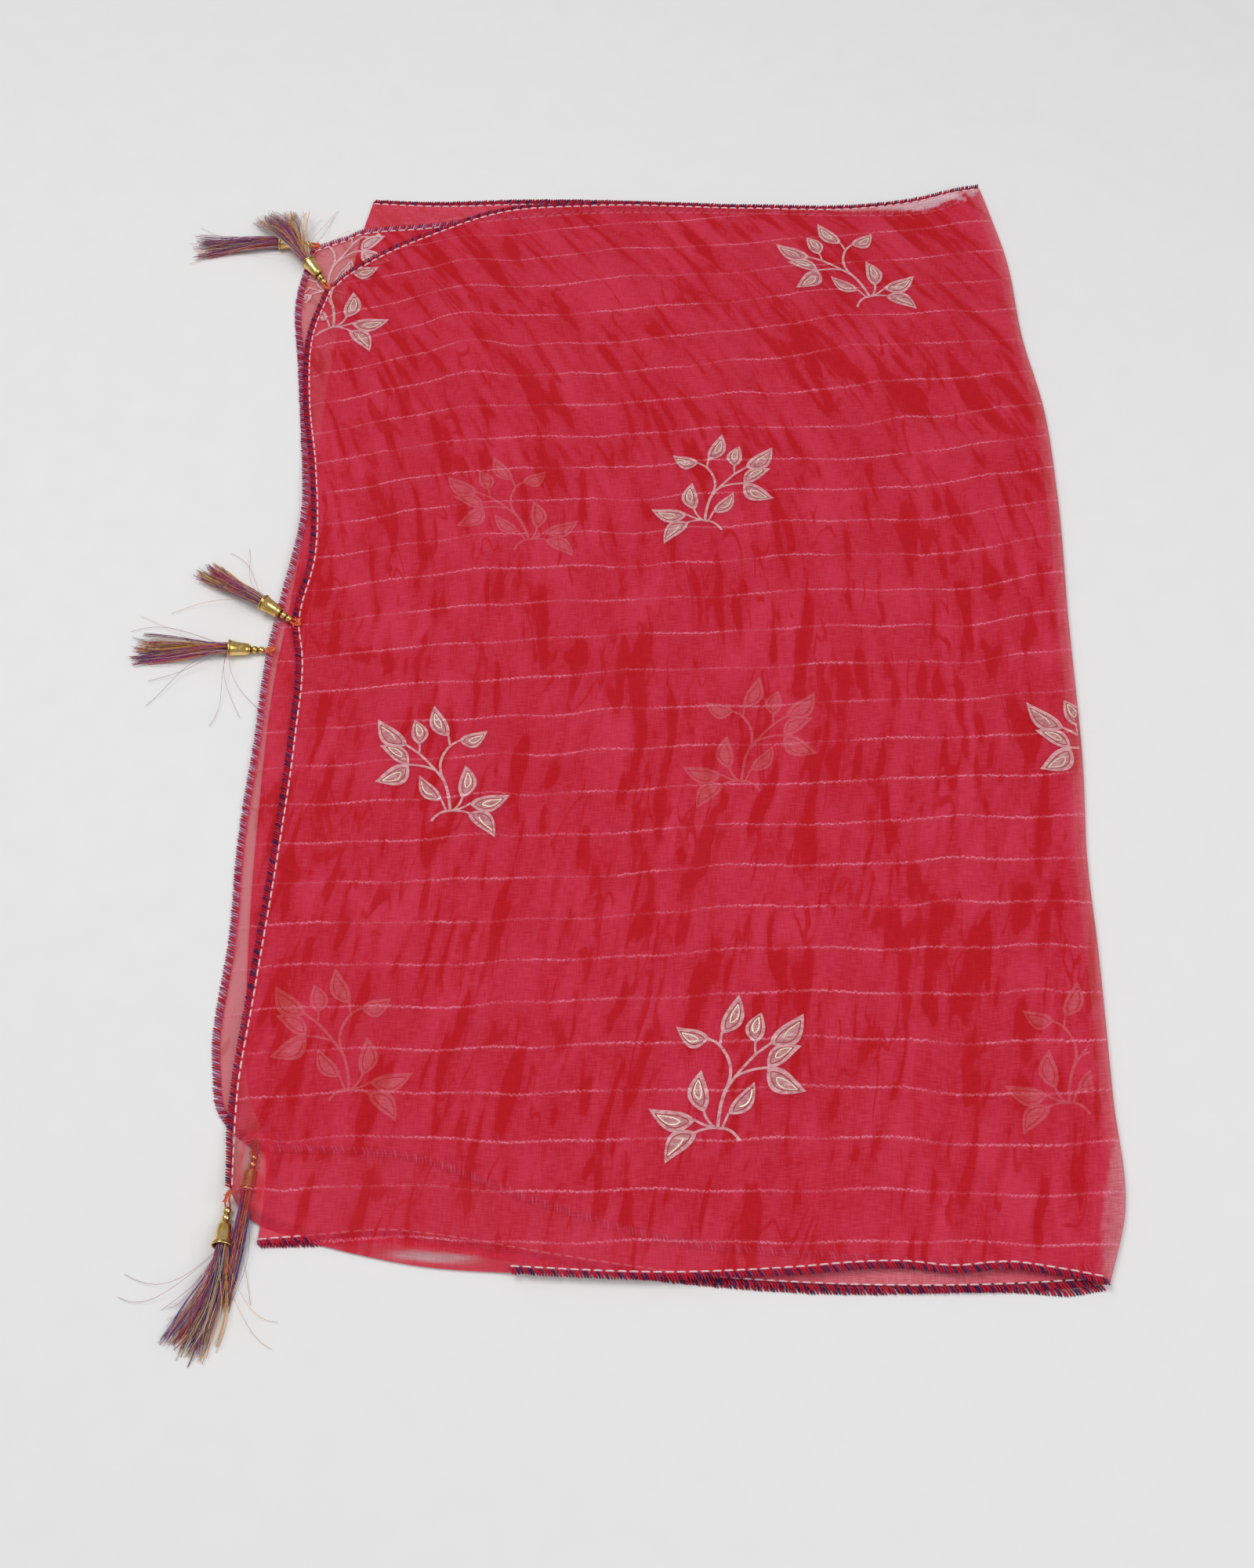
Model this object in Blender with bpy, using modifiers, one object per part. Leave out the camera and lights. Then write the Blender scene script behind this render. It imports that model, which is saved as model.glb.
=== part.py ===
# A scarf of sheer cloth, folded in four and laid flat, with a capped tassel at both corners and at the
# middle of each short end. Metres, +Z up. The origin is the middle of the whole outline, on the table.

import math

import bmesh
import bpy
import numpy as np
from mathutils import Matrix, Vector

MM = 0.001

# Driving dimensions
WALL = 1.0 * MM
SEAM_GAP = 0.3 * MM
LAYER_GAP = 0.55 * MM
STACK_HEIGHT = 2.0 * MM
FOLD_RADIUS = 2.0 * MM
FOLD_RETURN = 3.0 * MM
EDGE_SAG = 11.0 * MM
FOLD_SHOULDER = 1.5 * MM
LOWEST_MIDDLE = 0.6 * MM
FOLD_STEPS = 5
RETURN_END = 3.0
OUTLINE_SPACING = 14.0 * MM
MERGE_DISTANCE = 0.01 * MM

CAP_LENGTH = 17.6 * MM
HIDDEN_CAP_OVERHANG = 4.0 * MM
TENT_REACH = 12.0 * MM
OUTER_DROOP = 1.5
CAP_MOUTH_RADIUS = 4.25 * MM
CAP_TURN_STEPS = 12
CAP_TILT = math.radians(7.0)
BALL_CENTRE = 15.8 * MM
BALL_RADIUS = 1.8 * MM

PLUG_RADIUS = 2.75 * MM
PLUG_DEPTH = 3.5 * MM
PLUG_RECESS = 1.0 * MM
PLUG_SIDES = 6
ROOT_INSET = 0.22 * MM
STRAND_STEPS = 4
THREAD_LENGTH = 50.0 * MM
SHORTEST_SHARE = 0.80
TIP_HEIGHT = 2.0 * MM
TIP_FLATTENING = 0.5

LOOP_WIRE_RADIUS = 0.45 * MM
LOOP_HALF_WIDTH = 1.2 * MM
LOOP_SWELL = 0.8
LOOP_POINTS = 9
LOOP_RISE = 8.0
LOOP_CLEARANCE = 0.75 * MM

# The cloth's middle lies here, so that the origin is the middle of the cloth and tassels together.
CLOTH_MIDDLE = Vector((30.8 * MM, 25.6 * MM, 0.0))

# Outlines from above, in millimetres from the cloth's middle. Columns: x, y.
TOP_LAYER = {
    "left": (
        (-183.5, -281), (-186, -252), (-183, -190), (-179, -124), (-176.5, -60), (-177, -14), (-180, 3),
        (-175.5, 45), (-180, 105), (-187, 150), (-188.5, 197), (-181.5, 229.5),
    ),
    "right": (
        (176, -320.5), (185.5, -292), (187, -240), (189, -170), (189.5, -125), (193, -80), (196, 10),
        (199, 85), (198, 145), (192, 192), (189, 250), (179, 305),
    ),
    "bottom": (
        (-183.5, -281), (-158, -299), (-110, -309.5), (-58, -315.5), (0, -318), (50, -316.5), (95, -314),
        (113, -316), (136, -314.8), (156, -317), (176, -320.5),
    ),
    "top": (
        (-181.5, 229.5), (-158, 250), (-125, 270.5), (-90, 286.5), (-40, 292), (50, 290), (111, 290),
        (156, 298.5), (179, 305),
    ),
}
SECOND_LAYER = {
    "left": (
        (-174, -263), (-190, -247), (-195, -225), (-194, -160), (-195, -116), (-192.5, -60), (-191, -9),
        (-187.5, 20), (-181.5, 75), (-186, 125), (-191, 169), (-196.5, 225), (-191.5, 260.5),
    ),
    "right": ((170, -315), (180, -240), (182, -125), (190, 10), (191, 145), (185, 220), (171, 300)),
    "bottom": ((-174, -263), (-105, -268), (-60, -285), (0, -303), (60, -309), (170, -315)),
    "top": (
        (-191.5, 260.5), (-172, 269.5), (-125, 276.5), (-99, 281), (-40, 287.5), (50, 287.5), (118, 286),
        (142, 287), (156, 291), (171, 300),
    ),
}
INNER_LAYERS = {
    "left": (
        (-169.5, -304), (-168.5, -285), (-170, -262), (-180, -235), (-182, -164), (-185, -100), (-187, -30),
        (-183.5, 20), (-178, 100), (-175, 180), (-169, 240), (-165, 273), (-160.5, 296.5),
    ),
    "right": ((166, -324), (176, -290), (180, -200), (183, -90), (189, 85), (188, 145), (180, 240), (170, 299)),
    "bottom": (
        (-169.5, -304), (-145, -304), (-110, -307), (-60, -312), (13, -320), (56, -323), (144, -323),
        (166, -324),
    ),
    "top": (
        (-160.5, 296.5), (-126, 296), (-73, 298), (0, 296), (80, 291.5), (118, 287), (142, 287), (155, 290.5),
        (170, 299),
    ),
}

# The top layer's largest soft ridges. Columns in millimetres: x and y of the middle, length, width,
# height; lean is in degrees from +Y towards +X.
RIDGES = (
    (-120, 215, 120, 42, 1.6, -35), (-60, 190, 150, 40, 1.8, -28), (-10, 225, 110, 38, 1.4, -22),
    (35, 170, 150, 42, 2.0, -20), (85, 215, 120, 40, 1.6, -30), (120, 140, 160, 42, 2.2, -28),
    (160, 190, 150, 38, 2.0, -20), (165, 90, 120, 38, 1.6, -12), (-140, 110, 150, 42, 1.6, -10),
    (-95, 60, 140, 40, 1.8, -6), (-40, 75, 130, 40, 1.4, -4), (10, 50, 150, 42, 1.8, 2),
    (65, 40, 140, 40, 1.6, 4), (120, 20, 160, 42, 2.0, -6), (165, -30, 140, 38, 1.6, 2),
    (-135, -60, 150, 42, 1.6, 8), (-80, -90, 160, 42, 2.0, 10), (-30, -60, 150, 40, 1.6, 12),
    (25, -110, 170, 42, 2.2, 12), (75, -80, 150, 40, 1.6, 14), (125, -130, 160, 42, 2.0, 10),
    (160, -190, 140, 38, 1.8, 6), (-130, -180, 130, 42, 1.6, 10), (-75, -215, 140, 42, 1.8, 12),
    (-15, -220, 150, 40, 1.6, 10), (45, -235, 130, 42, 2.0, 12), (100, -245, 120, 40, 1.8, 8),
    (150, -265, 90, 38, 1.6, 4), (-130, -264, 100, 26, 1.0, 84), (60, -306, 50, 56, 1.4, 0),
    (130, -306, 60, 60, 2.4, 0), (165, 292, 50, 44, 2.0, -60),
)

# Where the grids of the two panels have their columns and rows, as shares of the panel.
TOP_COLUMNS = np.concatenate((np.linspace(0.0, 0.08, 6)[:-1], np.linspace(0.08, 1.0, 24)))
TOP_ROWS = np.concatenate((np.linspace(0.0, 0.08, 6)[:-1], np.linspace(0.08, 1.0, 34)))
SECOND_COLUMNS = np.concatenate((np.linspace(0.0, 0.10, 8)[:-1], np.linspace(0.10, 1.0, 6)))
SECOND_ROWS = np.linspace(0.0, 1.0, 33)

# Six tassels. Columns: name, x, y and z of the cap's mouth; heading of the threads at the mouth and
# their turn over the length, in degrees from +X; half width at the tips; rise of the threads' middle;
# length of the loop that ties the cap to the hem.
TASSELS = (
    ("upper_corner", -192.7, 245.6, 5.8, 125, -6, 14.0, 6.2, 5.0),
    ("upper_corner_under", -210.6, 262.0, 4.4, 181, 4, 8.0, 0.0, 5.0),
    ("middle", -196.1, 15.0, 7.5, 147, -12, 6.5, 1.5, 5.0),
    ("middle_under", -211.0, -10.0, 4.4, 180, 4, 8.5, 0.0, 5.0),
    ("lower_corner", -183.8, -306.0, 4.4, 268, -26, 10.0, 0.0, 6.0),
    ("lower_corner_under", -175.4, -283.1, 4.4, 266, 3, 2.9, 0.0, 5.0),
)
HIDDEN_TASSEL = TASSELS[5]

MATERIALS = {
    "chiffon": ((0.60, 0.03, 0.06), 0.75, 0.0),
    "gold": ((0.80, 0.55, 0.20), 0.25, 1.0),
    "thread": ((0.35, 0.10, 0.20), 0.60, 0.0),
    "loop": ((0.75, 0.12, 0.03), 0.70, 0.0),
}


def clear_scene():
    """Removes every object that the file opened with."""
    for obj in list(bpy.data.objects):
        bpy.data.objects.remove(obj, do_unlink=True)


def make_material(name):
    """A Principled material from the table's colour, roughness and metallic value."""
    colour, roughness, metallic = MATERIALS[name]
    material = bpy.data.materials.new(name)
    material.use_nodes = True
    shader = material.node_tree.nodes["Principled BSDF"]
    shader.inputs["Base Color"].default_value = (*colour, 1.0)
    shader.inputs["Roughness"].default_value = roughness
    shader.inputs["Metallic"].default_value = metallic
    return material


def add_object(name, mesh, material):
    """Puts a mesh into the scarf's collection with one material and smooth shading."""
    mesh.shade_smooth()
    mesh.materials.append(material)
    obj = bpy.data.objects.new(name, mesh)
    SCARF.objects.link(obj)
    return obj


def smoothstep(value):
    """Eases from 0 to 1 as the value goes from 0 to 1."""
    t = min(max(value, 0.0), 1.0)
    return t * t * (3.0 - 2.0 * t)


def bump(value):
    """A rounded hump that is 1 at 0 and falls to 0 at 1 on either side."""
    return math.cos(0.5 * math.pi * min(abs(value), 1.0)) ** 2


def smooth_path(rows):
    """A smooth curve through the rows, as a function of the share of its length."""
    points = np.array(rows) * MM
    chords = np.linalg.norm(np.diff(points, axis=0), axis=1)
    along = np.concatenate(([0.0], np.cumsum(chords)))
    slopes = np.gradient(points, along, axis=0)

    def at(share):
        where = min(max(share, 0.0), 1.0) * along[-1]
        k = min(int(np.searchsorted(along, where, side="right")) - 1, len(chords) - 1)
        t = (where - along[k]) / chords[k]
        ease = t * t * (3.0 - 2.0 * t)
        leave = t * (1.0 - t) ** 2 * chords[k]
        arrive = t * t * (t - 1.0) * chords[k]
        return (1.0 - ease) * points[k] + ease * points[k + 1] + leave * slopes[k] + arrive * slopes[k + 1]

    return at


def patch(outline):
    """Fills the space between four edges: u runs from left to right and v from bottom to top."""
    left = smooth_path(outline["left"])
    right = smooth_path(outline["right"])
    bottom = smooth_path(outline["bottom"])
    top = smooth_path(outline["top"])

    def at(u, v):
        between_ends = (1.0 - v) * bottom(u) + v * top(u)
        between_sides = (1.0 - u) * left(v) + u * right(v)
        low_corners = (1.0 - u) * bottom(0.0) + u * bottom(1.0)
        high_corners = (1.0 - u) * top(0.0) + u * top(1.0)
        return between_ends + between_sides - (1.0 - v) * low_corners - v * high_corners

    return at


def second_height(x, y):
    """Height of the second layer's middle surface, which sags to the table beyond the left fold."""
    rows = np.array(INNER_LAYERS["left"]) * MM
    fold_x = np.interp(y, rows[:, 1], rows[:, 0])
    on_stack = STACK_HEIGHT + SEAM_GAP + 0.5 * WALL
    share = smoothstep((x - fold_x + EDGE_SAG + FOLD_SHOULDER) / EDGE_SAG)
    return LOWEST_MIDDLE + (on_stack - LOWEST_MIDDLE) * share


def ridge_rise(x, y):
    """How far the soft ridges lift the top layer."""
    rise = 0.0
    for mid_x, mid_y, length, width, height, lean in RIDGES:
        angle = math.radians(lean)
        step_x = x / MM - mid_x
        step_y = y / MM - mid_y
        along = step_x * math.sin(angle) + step_y * math.cos(angle)
        across = step_x * math.cos(angle) - step_y * math.sin(angle)
        rise += height * MM * bump(2.0 * along / length) * bump(2.0 * across / width)
    return rise


def hidden_cap_distance(x, y):
    """Distance in plan from the axis of the cap under the top layer, which droops more on the outer side."""
    mouth_x, mouth_y, _, heading = HIDDEN_TASSEL[1:5]
    angle = math.radians(heading)
    step_x = x - mouth_x * MM
    step_y = y - mouth_y * MM
    back = -step_x * math.cos(angle) - step_y * math.sin(angle)
    side = step_x * math.sin(angle) - step_y * math.cos(angle)
    beyond_ends = max(-HIDDEN_CAP_OVERHANG - back, back - CAP_LENGTH, 0.0)
    return math.hypot(beyond_ends, side if side < 0.0 else OUTER_DROOP * side)


def top_height(x, y):
    """Height of the top layer's middle surface: over the second layer, the ridges and the hidden cap."""
    resting = second_height(x, y) + WALL + LAYER_GAP
    over_cap = 2.0 * CAP_MOUTH_RADIUS + WALL + SEAM_GAP
    near = smoothstep(1.0 - (hidden_cap_distance(x, y) - CAP_MOUTH_RADIUS) / TENT_REACH)
    return max(resting + ridge_rise(x, y), resting + (over_cap - resting) * near)


def grid_mesh(name, columns, rows, place):
    """A grid whose vertex in column i and row j lies at place(columns[i], rows[j])."""
    bm = bmesh.new()
    last_column = len(columns) - 1
    last_row = len(rows) - 1
    bmesh.ops.create_grid(bm, x_segments=last_column, y_segments=last_row, size=1.0)
    for vertex in bm.verts:
        i = round((vertex.co.x + 1.0) * 0.5 * last_column)
        j = round((vertex.co.y + 1.0) * 0.5 * last_row)
        vertex.co = Vector(place(columns[i], rows[j])) + CLOTH_MIDDLE
    bmesh.ops.triangulate(bm, faces=bm.faces)
    mesh = bpy.data.meshes.new(name)
    bm.to_mesh(mesh)
    bm.free()
    return mesh


def add_wall(obj):
    """Gives a sheet its thickness, half to each side."""
    solidify = obj.modifiers.new("wall", "SOLIDIFY")
    solidify.thickness = WALL
    solidify.offset = 0.0
    solidify.use_rim = True


def fold_point(edge, turn):
    """A point of the outer fold: turn is 0 to 1 round the half circle, and 1 to 2 along its return."""
    top = top_height(edge[0], edge[1])
    radius = 0.5 * (top - 0.5 * WALL)
    angle = math.pi * min(turn, 1.0)
    slide = max(turn - 1.0, 0.0) * FOLD_RETURN
    x = edge[0] + FOLD_RADIUS * math.sin(angle) - slide
    return (x, edge[1], top - radius * (1.0 - math.cos(angle)))


def build_top_layer():
    """The top quarter of the scarf, with the fold that carries it round to the underside."""
    outline = dict(TOP_LAYER)
    outline["right"] = [(x - FOLD_RADIUS / MM, y) for x, y in TOP_LAYER["right"]]
    outline["bottom"] = [*TOP_LAYER["bottom"][:-1], outline["right"][0]]
    outline["top"] = [*TOP_LAYER["top"][:-1], outline["right"][-1]]
    panel = patch(outline)

    def place(u, v):
        flat = panel(min(u, 1.0), v)
        if u > 1.0:
            return fold_point(flat, u - 1.0)
        return (flat[0], flat[1], top_height(flat[0], flat[1]))

    # The panel's columns run from 0 to 1, those of the fold from 1 to 2, and the return ends at 3.
    turns = np.linspace(0.0, 1.0, FOLD_STEPS + 1)[1:]
    columns = np.concatenate((TOP_COLUMNS, 1.0 + turns, (RETURN_END,)))
    mesh = grid_mesh("top_layer", columns, TOP_ROWS, place)
    add_wall(add_object("top_layer", mesh, CHIFFON))


def build_second_layer():
    """The quarter that ends in the other short edge, under the top layer."""
    panel = patch(SECOND_LAYER)

    def place(u, v):
        x, y = panel(u, v)
        return (x, y, second_height(x, y))

    mesh = grid_mesh("second_layer", SECOND_COLUMNS, SECOND_ROWS, place)
    add_wall(add_object("second_layer", mesh, CHIFFON))


def outline_loop(outline, spacing):
    """Points round the four edges, counterclockwise from the lower left corner."""
    loop = []
    for side, backwards in (("bottom", False), ("right", False), ("top", True), ("left", True)):
        path = smooth_path(outline[side])
        rows = np.array(outline[side]) * MM
        length = float(np.linalg.norm(np.diff(rows, axis=0), axis=1).sum())
        count = round(length / spacing)
        for k in range(count):
            share = k / count
            loop.append(path(1.0 - share if backwards else share))
    return np.array(loop)


def build_inner_layers():
    """The two hidden quarters and their left fold as one slab, with a rounded lip for each layer."""
    loop = outline_loop(INNER_LAYERS, OUTLINE_SPACING)
    ahead = np.roll(loop, -1, axis=0) - np.roll(loop, 1, axis=0)
    inward = np.stack((-ahead[:, 1], ahead[:, 0]), axis=1)
    inward /= np.linalg.norm(inward, axis=1)[:, None]
    half = 0.5 * STACK_HEIGHT
    # Columns: inset from the outline, height, both in metres.
    lips = (
        (0.8 * MM, 0.0), (0.0, 0.5 * half), (0.9 * MM, half), (1.0 * MM, 1.5 * half), (2.0 * MM, 2.0 * half),
    )
    bm = bmesh.new()
    rings = []
    for inset, height in lips:
        ring = loop + inset * inward
        rings.append([bm.verts.new(Vector((x, y, height)) + CLOTH_MIDDLE) for x, y in ring])
    for low, high in zip(rings, rings[1:]):
        for k in range(len(low)):
            bm.faces.new((low[k - 1], low[k], high[k], high[k - 1]))
    bm.faces.new(reversed(rings[0]))
    bm.faces.new(rings[-1])
    bmesh.ops.triangulate(bm, faces=bm.faces)
    mesh = bpy.data.meshes.new("inner_layers")
    bm.to_mesh(mesh)
    bm.free()
    add_object("inner_layers", mesh, CHIFFON)


def cap_profile_mesh():
    """Half section of a cap: two balls, a bell with a flared mouth, and the hollow inside the bell."""
    # Columns: radius and distance back from the mouth, in millimetres.
    rows = (
        (0.0, 17.6), (1.27, 17.07), (1.8, 15.8), (0.95, 14.25), (1.9, 12.6), (1.1, 10.9), (2.2, 10.2),
        (2.95, 9.0), (3.3, 5.2), (4.25, 0.5), (4.2, 0.0), (3.55, 0.0), (3.25, 5.3), (0.0, 5.3),
    )
    mesh = bpy.data.meshes.new("cap_profile")
    points = [(radius * MM, 0.0, back * MM) for radius, back in rows]
    edges = [(k, k + 1) for k in range(len(points) - 1)]
    mesh.from_pydata(points, edges, [])
    return mesh


def mouth_matrix(tassel):
    """The tassel's frame at its mouth: local +Z runs back through the cap, local +Y stays near up."""
    x, y, z, heading = tassel[1:5]
    angle = math.radians(heading)
    back = Vector((-math.cos(angle) * math.cos(CAP_TILT), -math.sin(angle) * math.cos(CAP_TILT), 0.0))
    back.z = -math.sin(CAP_TILT)
    side = Vector((0.0, 0.0, 1.0)).cross(back).normalized()
    up = back.cross(side)
    turn = Matrix((side, up, back)).transposed().to_4x4()
    place = Vector((x * MM, y * MM, z * MM)) + CLOTH_MIDDLE
    return Matrix.Translation(place) @ turn


def build_cap(tassel):
    """One turned metal cap."""
    obj = add_object("cap_" + tassel[0], cap_profile_mesh(), GOLD)
    obj.matrix_world = mouth_matrix(tassel)
    screw = obj.modifiers.new("turn", "SCREW")
    screw.axis = "Z"
    screw.steps = CAP_TURN_STEPS
    screw.render_steps = CAP_TURN_STEPS
    screw.use_merge_vertices = True
    screw.merge_threshold = MERGE_DISTANCE
    screw.use_smooth_shade = True


def bundle_frames(tassel):
    """Centre, side direction, side scale and height scale of the thread bundle at each step."""
    _, x, y, z, heading, turn, half_width, rise, _ = tassel
    stride = THREAD_LENGTH / STRAND_STEPS
    centre = Vector((x * MM, y * MM, z * MM)) + CLOTH_MIDDLE
    frames = []
    for step in range(1, STRAND_STEPS + 1):
        share = step / STRAND_STEPS
        angle = math.radians(heading + turn * (share - 0.5 / STRAND_STEPS))
        centre += Vector((math.cos(angle), math.sin(angle), 0.0)) * stride
        fall = smoothstep(share)
        height = z * MM * (1.0 - fall) + TIP_HEIGHT * fall + rise * MM * bump(2.0 * share - 1.0)
        side = Vector((-math.sin(angle), math.cos(angle), 0.0))
        widen = 1.0 + (half_width * MM / PLUG_RADIUS - 1.0) * share
        flatten = 1.0 - TIP_FLATTENING * share
        frames.append((Vector((centre.x, centre.y, height)), side, widen, flatten))
    return frames


def build_threads(tassel, seed):
    """A bundle of threads that stand apart, grown from the faces of a plug in the cap's mouth."""
    ragged = np.random.default_rng(seed)
    matrix = mouth_matrix(tassel)
    frames = bundle_frames(tassel)
    bm = bmesh.new()
    middle = Matrix.Translation((0.0, 0.0, PLUG_RECESS + 0.5 * PLUG_DEPTH))
    bmesh.ops.create_cone(
        bm, cap_ends=True, cap_tris=True, segments=PLUG_SIDES, radius1=PLUG_RADIUS, radius2=PLUG_RADIUS,
        depth=PLUG_DEPTH, matrix=middle,
    )
    face_height = PLUG_RECESS + MERGE_DISTANCE
    front = [face for face in bm.faces if max(vertex.co.z for vertex in face.verts) < face_height]
    front_edges = list({edge for face in front for edge in face.edges})
    bmesh.ops.subdivide_edges(bm, edges=front_edges, cuts=1, use_grid_fill=True)
    bmesh.ops.triangulate(bm, faces=bm.faces)
    front = [face for face in bm.faces if max(vertex.co.z for vertex in face.verts) < face_height]
    bmesh.ops.inset_individual(bm, faces=front, thickness=ROOT_INSET)
    for face in front:
        root = face.calc_center_median()
        shape = [vertex.co - root for vertex in face.verts]
        reach = ragged.uniform(SHORTEST_SHARE, 1.0)
        tip = face
        previous = matrix @ root
        for centre, side, widen, flatten in frames:
            tip = bmesh.ops.extrude_discrete_faces(bm, faces=[tip])["faces"][0]
            wanted = centre - side * root.x * widen + Vector((0.0, 0.0, root.y * flatten))
            strand = previous.lerp(wanted, reach)
            previous = wanted
            for vertex, offset in zip(tip.verts, shape):
                spot = strand - side * offset.x + Vector((0.0, 0.0, offset.y * flatten))
                vertex.co = matrix.inverted() @ spot
    bm.transform(matrix)
    bmesh.ops.triangulate(bm, faces=bm.faces)
    mesh = bpy.data.meshes.new("threads_" + tassel[0])
    bm.to_mesh(mesh)
    bm.free()
    add_object("threads_" + tassel[0], mesh, THREAD)


def build_loop(tassel):
    """The hairpin of thread from the last ball over the hem, just clear of the cloth."""
    name, x, y, z, heading, *_, length = tassel
    angle = math.radians(heading)
    back = Vector((-math.cos(angle), -math.sin(angle), 0.0))
    side = Vector((-back.y, back.x, 0.0))
    mouth = Vector((x * MM, y * MM, 0.0))
    start = BALL_CENTRE * math.cos(CAP_TILT) + BALL_RADIUS + SEAM_GAP + LOOP_WIRE_RADIUS
    ball_height = z * MM - BALL_CENTRE * math.sin(CAP_TILT)
    cloth_height = second_height if name.endswith("under") else top_height
    curve = bpy.data.curves.new("loop_" + name, "CURVE")
    curve.dimensions = "3D"
    curve.bevel_depth = LOOP_WIRE_RADIUS
    curve.bevel_resolution = 1
    curve.use_fill_caps = True
    spline = curve.splines.new("POLY")
    spline.points.add(LOOP_POINTS - 1)
    for k, point in enumerate(spline.points):
        swing = math.pi * (k / (LOOP_POINTS - 1) - 0.5)
        along = math.cos(swing)
        spot = mouth + back * (start + length * MM * along)
        spot += side * LOOP_HALF_WIDTH * math.sin(swing) * (1.0 + LOOP_SWELL * along)
        clear = cloth_height(spot.x, spot.y) + 0.5 * WALL + LOOP_CLEARANCE + LOOP_WIRE_RADIUS
        spot.z = ball_height + (clear - ball_height) * smoothstep(LOOP_RISE * along)
        point.co = (*(spot + CLOTH_MIDDLE), 1.0)
    curve.materials.append(LOOP)
    obj = bpy.data.objects.new("loop_" + name, curve)
    SCARF.objects.link(obj)


clear_scene()
SCARF = bpy.data.collections.new("scarf")
bpy.context.scene.collection.children.link(SCARF)
CHIFFON = make_material("chiffon")
GOLD = make_material("gold")
THREAD = make_material("thread")
LOOP = make_material("loop")
build_inner_layers()
build_second_layer()
build_top_layer()
for number, row in enumerate(TASSELS):
    build_cap(row)
    build_threads(row, number)
    build_loop(row)
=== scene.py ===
# The looks of a sheer red scarf, folded in four and laid flat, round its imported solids.
import math

import bpy
import numpy as np
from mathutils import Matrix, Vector


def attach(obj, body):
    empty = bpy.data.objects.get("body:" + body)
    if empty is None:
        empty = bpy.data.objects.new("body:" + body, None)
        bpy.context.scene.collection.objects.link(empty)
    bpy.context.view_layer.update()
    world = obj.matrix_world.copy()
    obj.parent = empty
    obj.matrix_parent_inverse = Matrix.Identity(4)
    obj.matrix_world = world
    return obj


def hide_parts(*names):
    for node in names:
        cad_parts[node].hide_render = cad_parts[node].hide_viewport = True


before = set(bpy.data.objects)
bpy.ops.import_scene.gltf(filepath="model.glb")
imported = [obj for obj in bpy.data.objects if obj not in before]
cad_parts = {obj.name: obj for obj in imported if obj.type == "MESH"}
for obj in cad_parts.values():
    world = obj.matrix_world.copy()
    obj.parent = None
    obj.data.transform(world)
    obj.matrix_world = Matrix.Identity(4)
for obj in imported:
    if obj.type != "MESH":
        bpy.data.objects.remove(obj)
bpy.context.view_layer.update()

# Lengths are in millimetres from the cloth's middle. They become metres in the shared frame when a mesh is
# made, and the sizes in the materials are in metres.
MM = 0.001
CLOTH_MIDDLE = np.array((30.8, 25.6, 0.0))
TINY = 1e-9

# How the layers lie on each other: wall, gaps, heights, the folds, and how far an edge or a tent reaches.
WALL = 1.0
LAYER_GAP = 0.55
SEAM_GAP = 0.3
STACK_HEIGHT = 2.0
FOLD_RADIUS = 2.0
FOLD_RETURN = 3.0
EDGE_SAG = 7.5
FOLD_SHOULDER = 1.5
LOWEST_MIDDLE = 0.6
LOWEST_LAYER = 0.45
THIRD_LAYER = 1.5
CLOSEST_LAYERS = 0.4
TENT_REACH = 12.0
OUTER_DROOP = 1.5

# The stripes lie a little farther apart towards the right, and waver. Columns: height, run along x, lean.
STRIPE_PITCH = 21.5
STRIPE_START = -304.0
STRIPE_SPREAD = 0.0048
STRIPE_WAVES = ((0.65, 17.0, 40.0), (0.4, 7.3, -23.0))
# Lean of the streaks above and below the cloth's middle.
UPPER_LEAN = -0.0016
LOWER_LEAN = 0.17

# The caps. Heights are over the mouth.
CAP_LENGTH = 17.6
CAP_OVERHANG = 4.0
CAP_MOUTH_RADIUS = 4.25
CAP_TILT = math.radians(7.0)
BALL_CENTRE = 15.8
BALL_RADIUS = 1.8
CAP_SIDES = 36
# A cap's balls. Columns: height of the middle, radius, upper and lower angle.
CAP_BALLS = ((BALL_CENTRE, BALL_RADIUS, 90, -58), (12.6, 1.9, 58, -56))
# The bell under them, and its hollow. Columns: radius, height over the mouth.
BELL = (
    (1.15, 10.9), (1.9, 10.75), (2.25, 10.5), (2.2, 10.2), (2.5, 9.95), (2.85, 9.45), (3.0, 8.8),
    (3.1, 7.6), (3.2, 6.0), (3.35, 4.4), (3.6, 2.8), (3.9, 1.5), (4.08, 0.95), (4.0, 0.8), (4.25, 0.6),
    (4.32, 0.35), (4.2, 0.05), (3.9, 0.0), (3.6, 0.4), (3.3, 3.0), (3.2, 5.3), (0.0, 5.4),
)
# Grooves of a cap, darkened with painted shade. Columns: height over the mouth, reach.
CAP_GROOVES = ((14.2, 0.9), (10.95, 0.85), (0.9, 0.45))

# Each tassel's threads hang in locks of a few threads each.
LOCKS = 22
LOCK_THREADS = 8
THREAD_STEPS = 10
THREAD_LENGTH = 50.0
STRAY_RADIUS = 0.09
PLUG_RADIUS = 2.75
ROOT_DEPTH = 2.5
TIP_HEIGHT = 1.4
LOWEST_THREAD = 0.35

# The thread that ties a cap to the hem: strands of the loop, and frayed tails.
LOOP_STRANDS = 9
LOOP_TAILS = 5
LOOP_STEPS = 15
LOOP_RADIUS = 0.24
STRAND_STEP = 0.12

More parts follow.
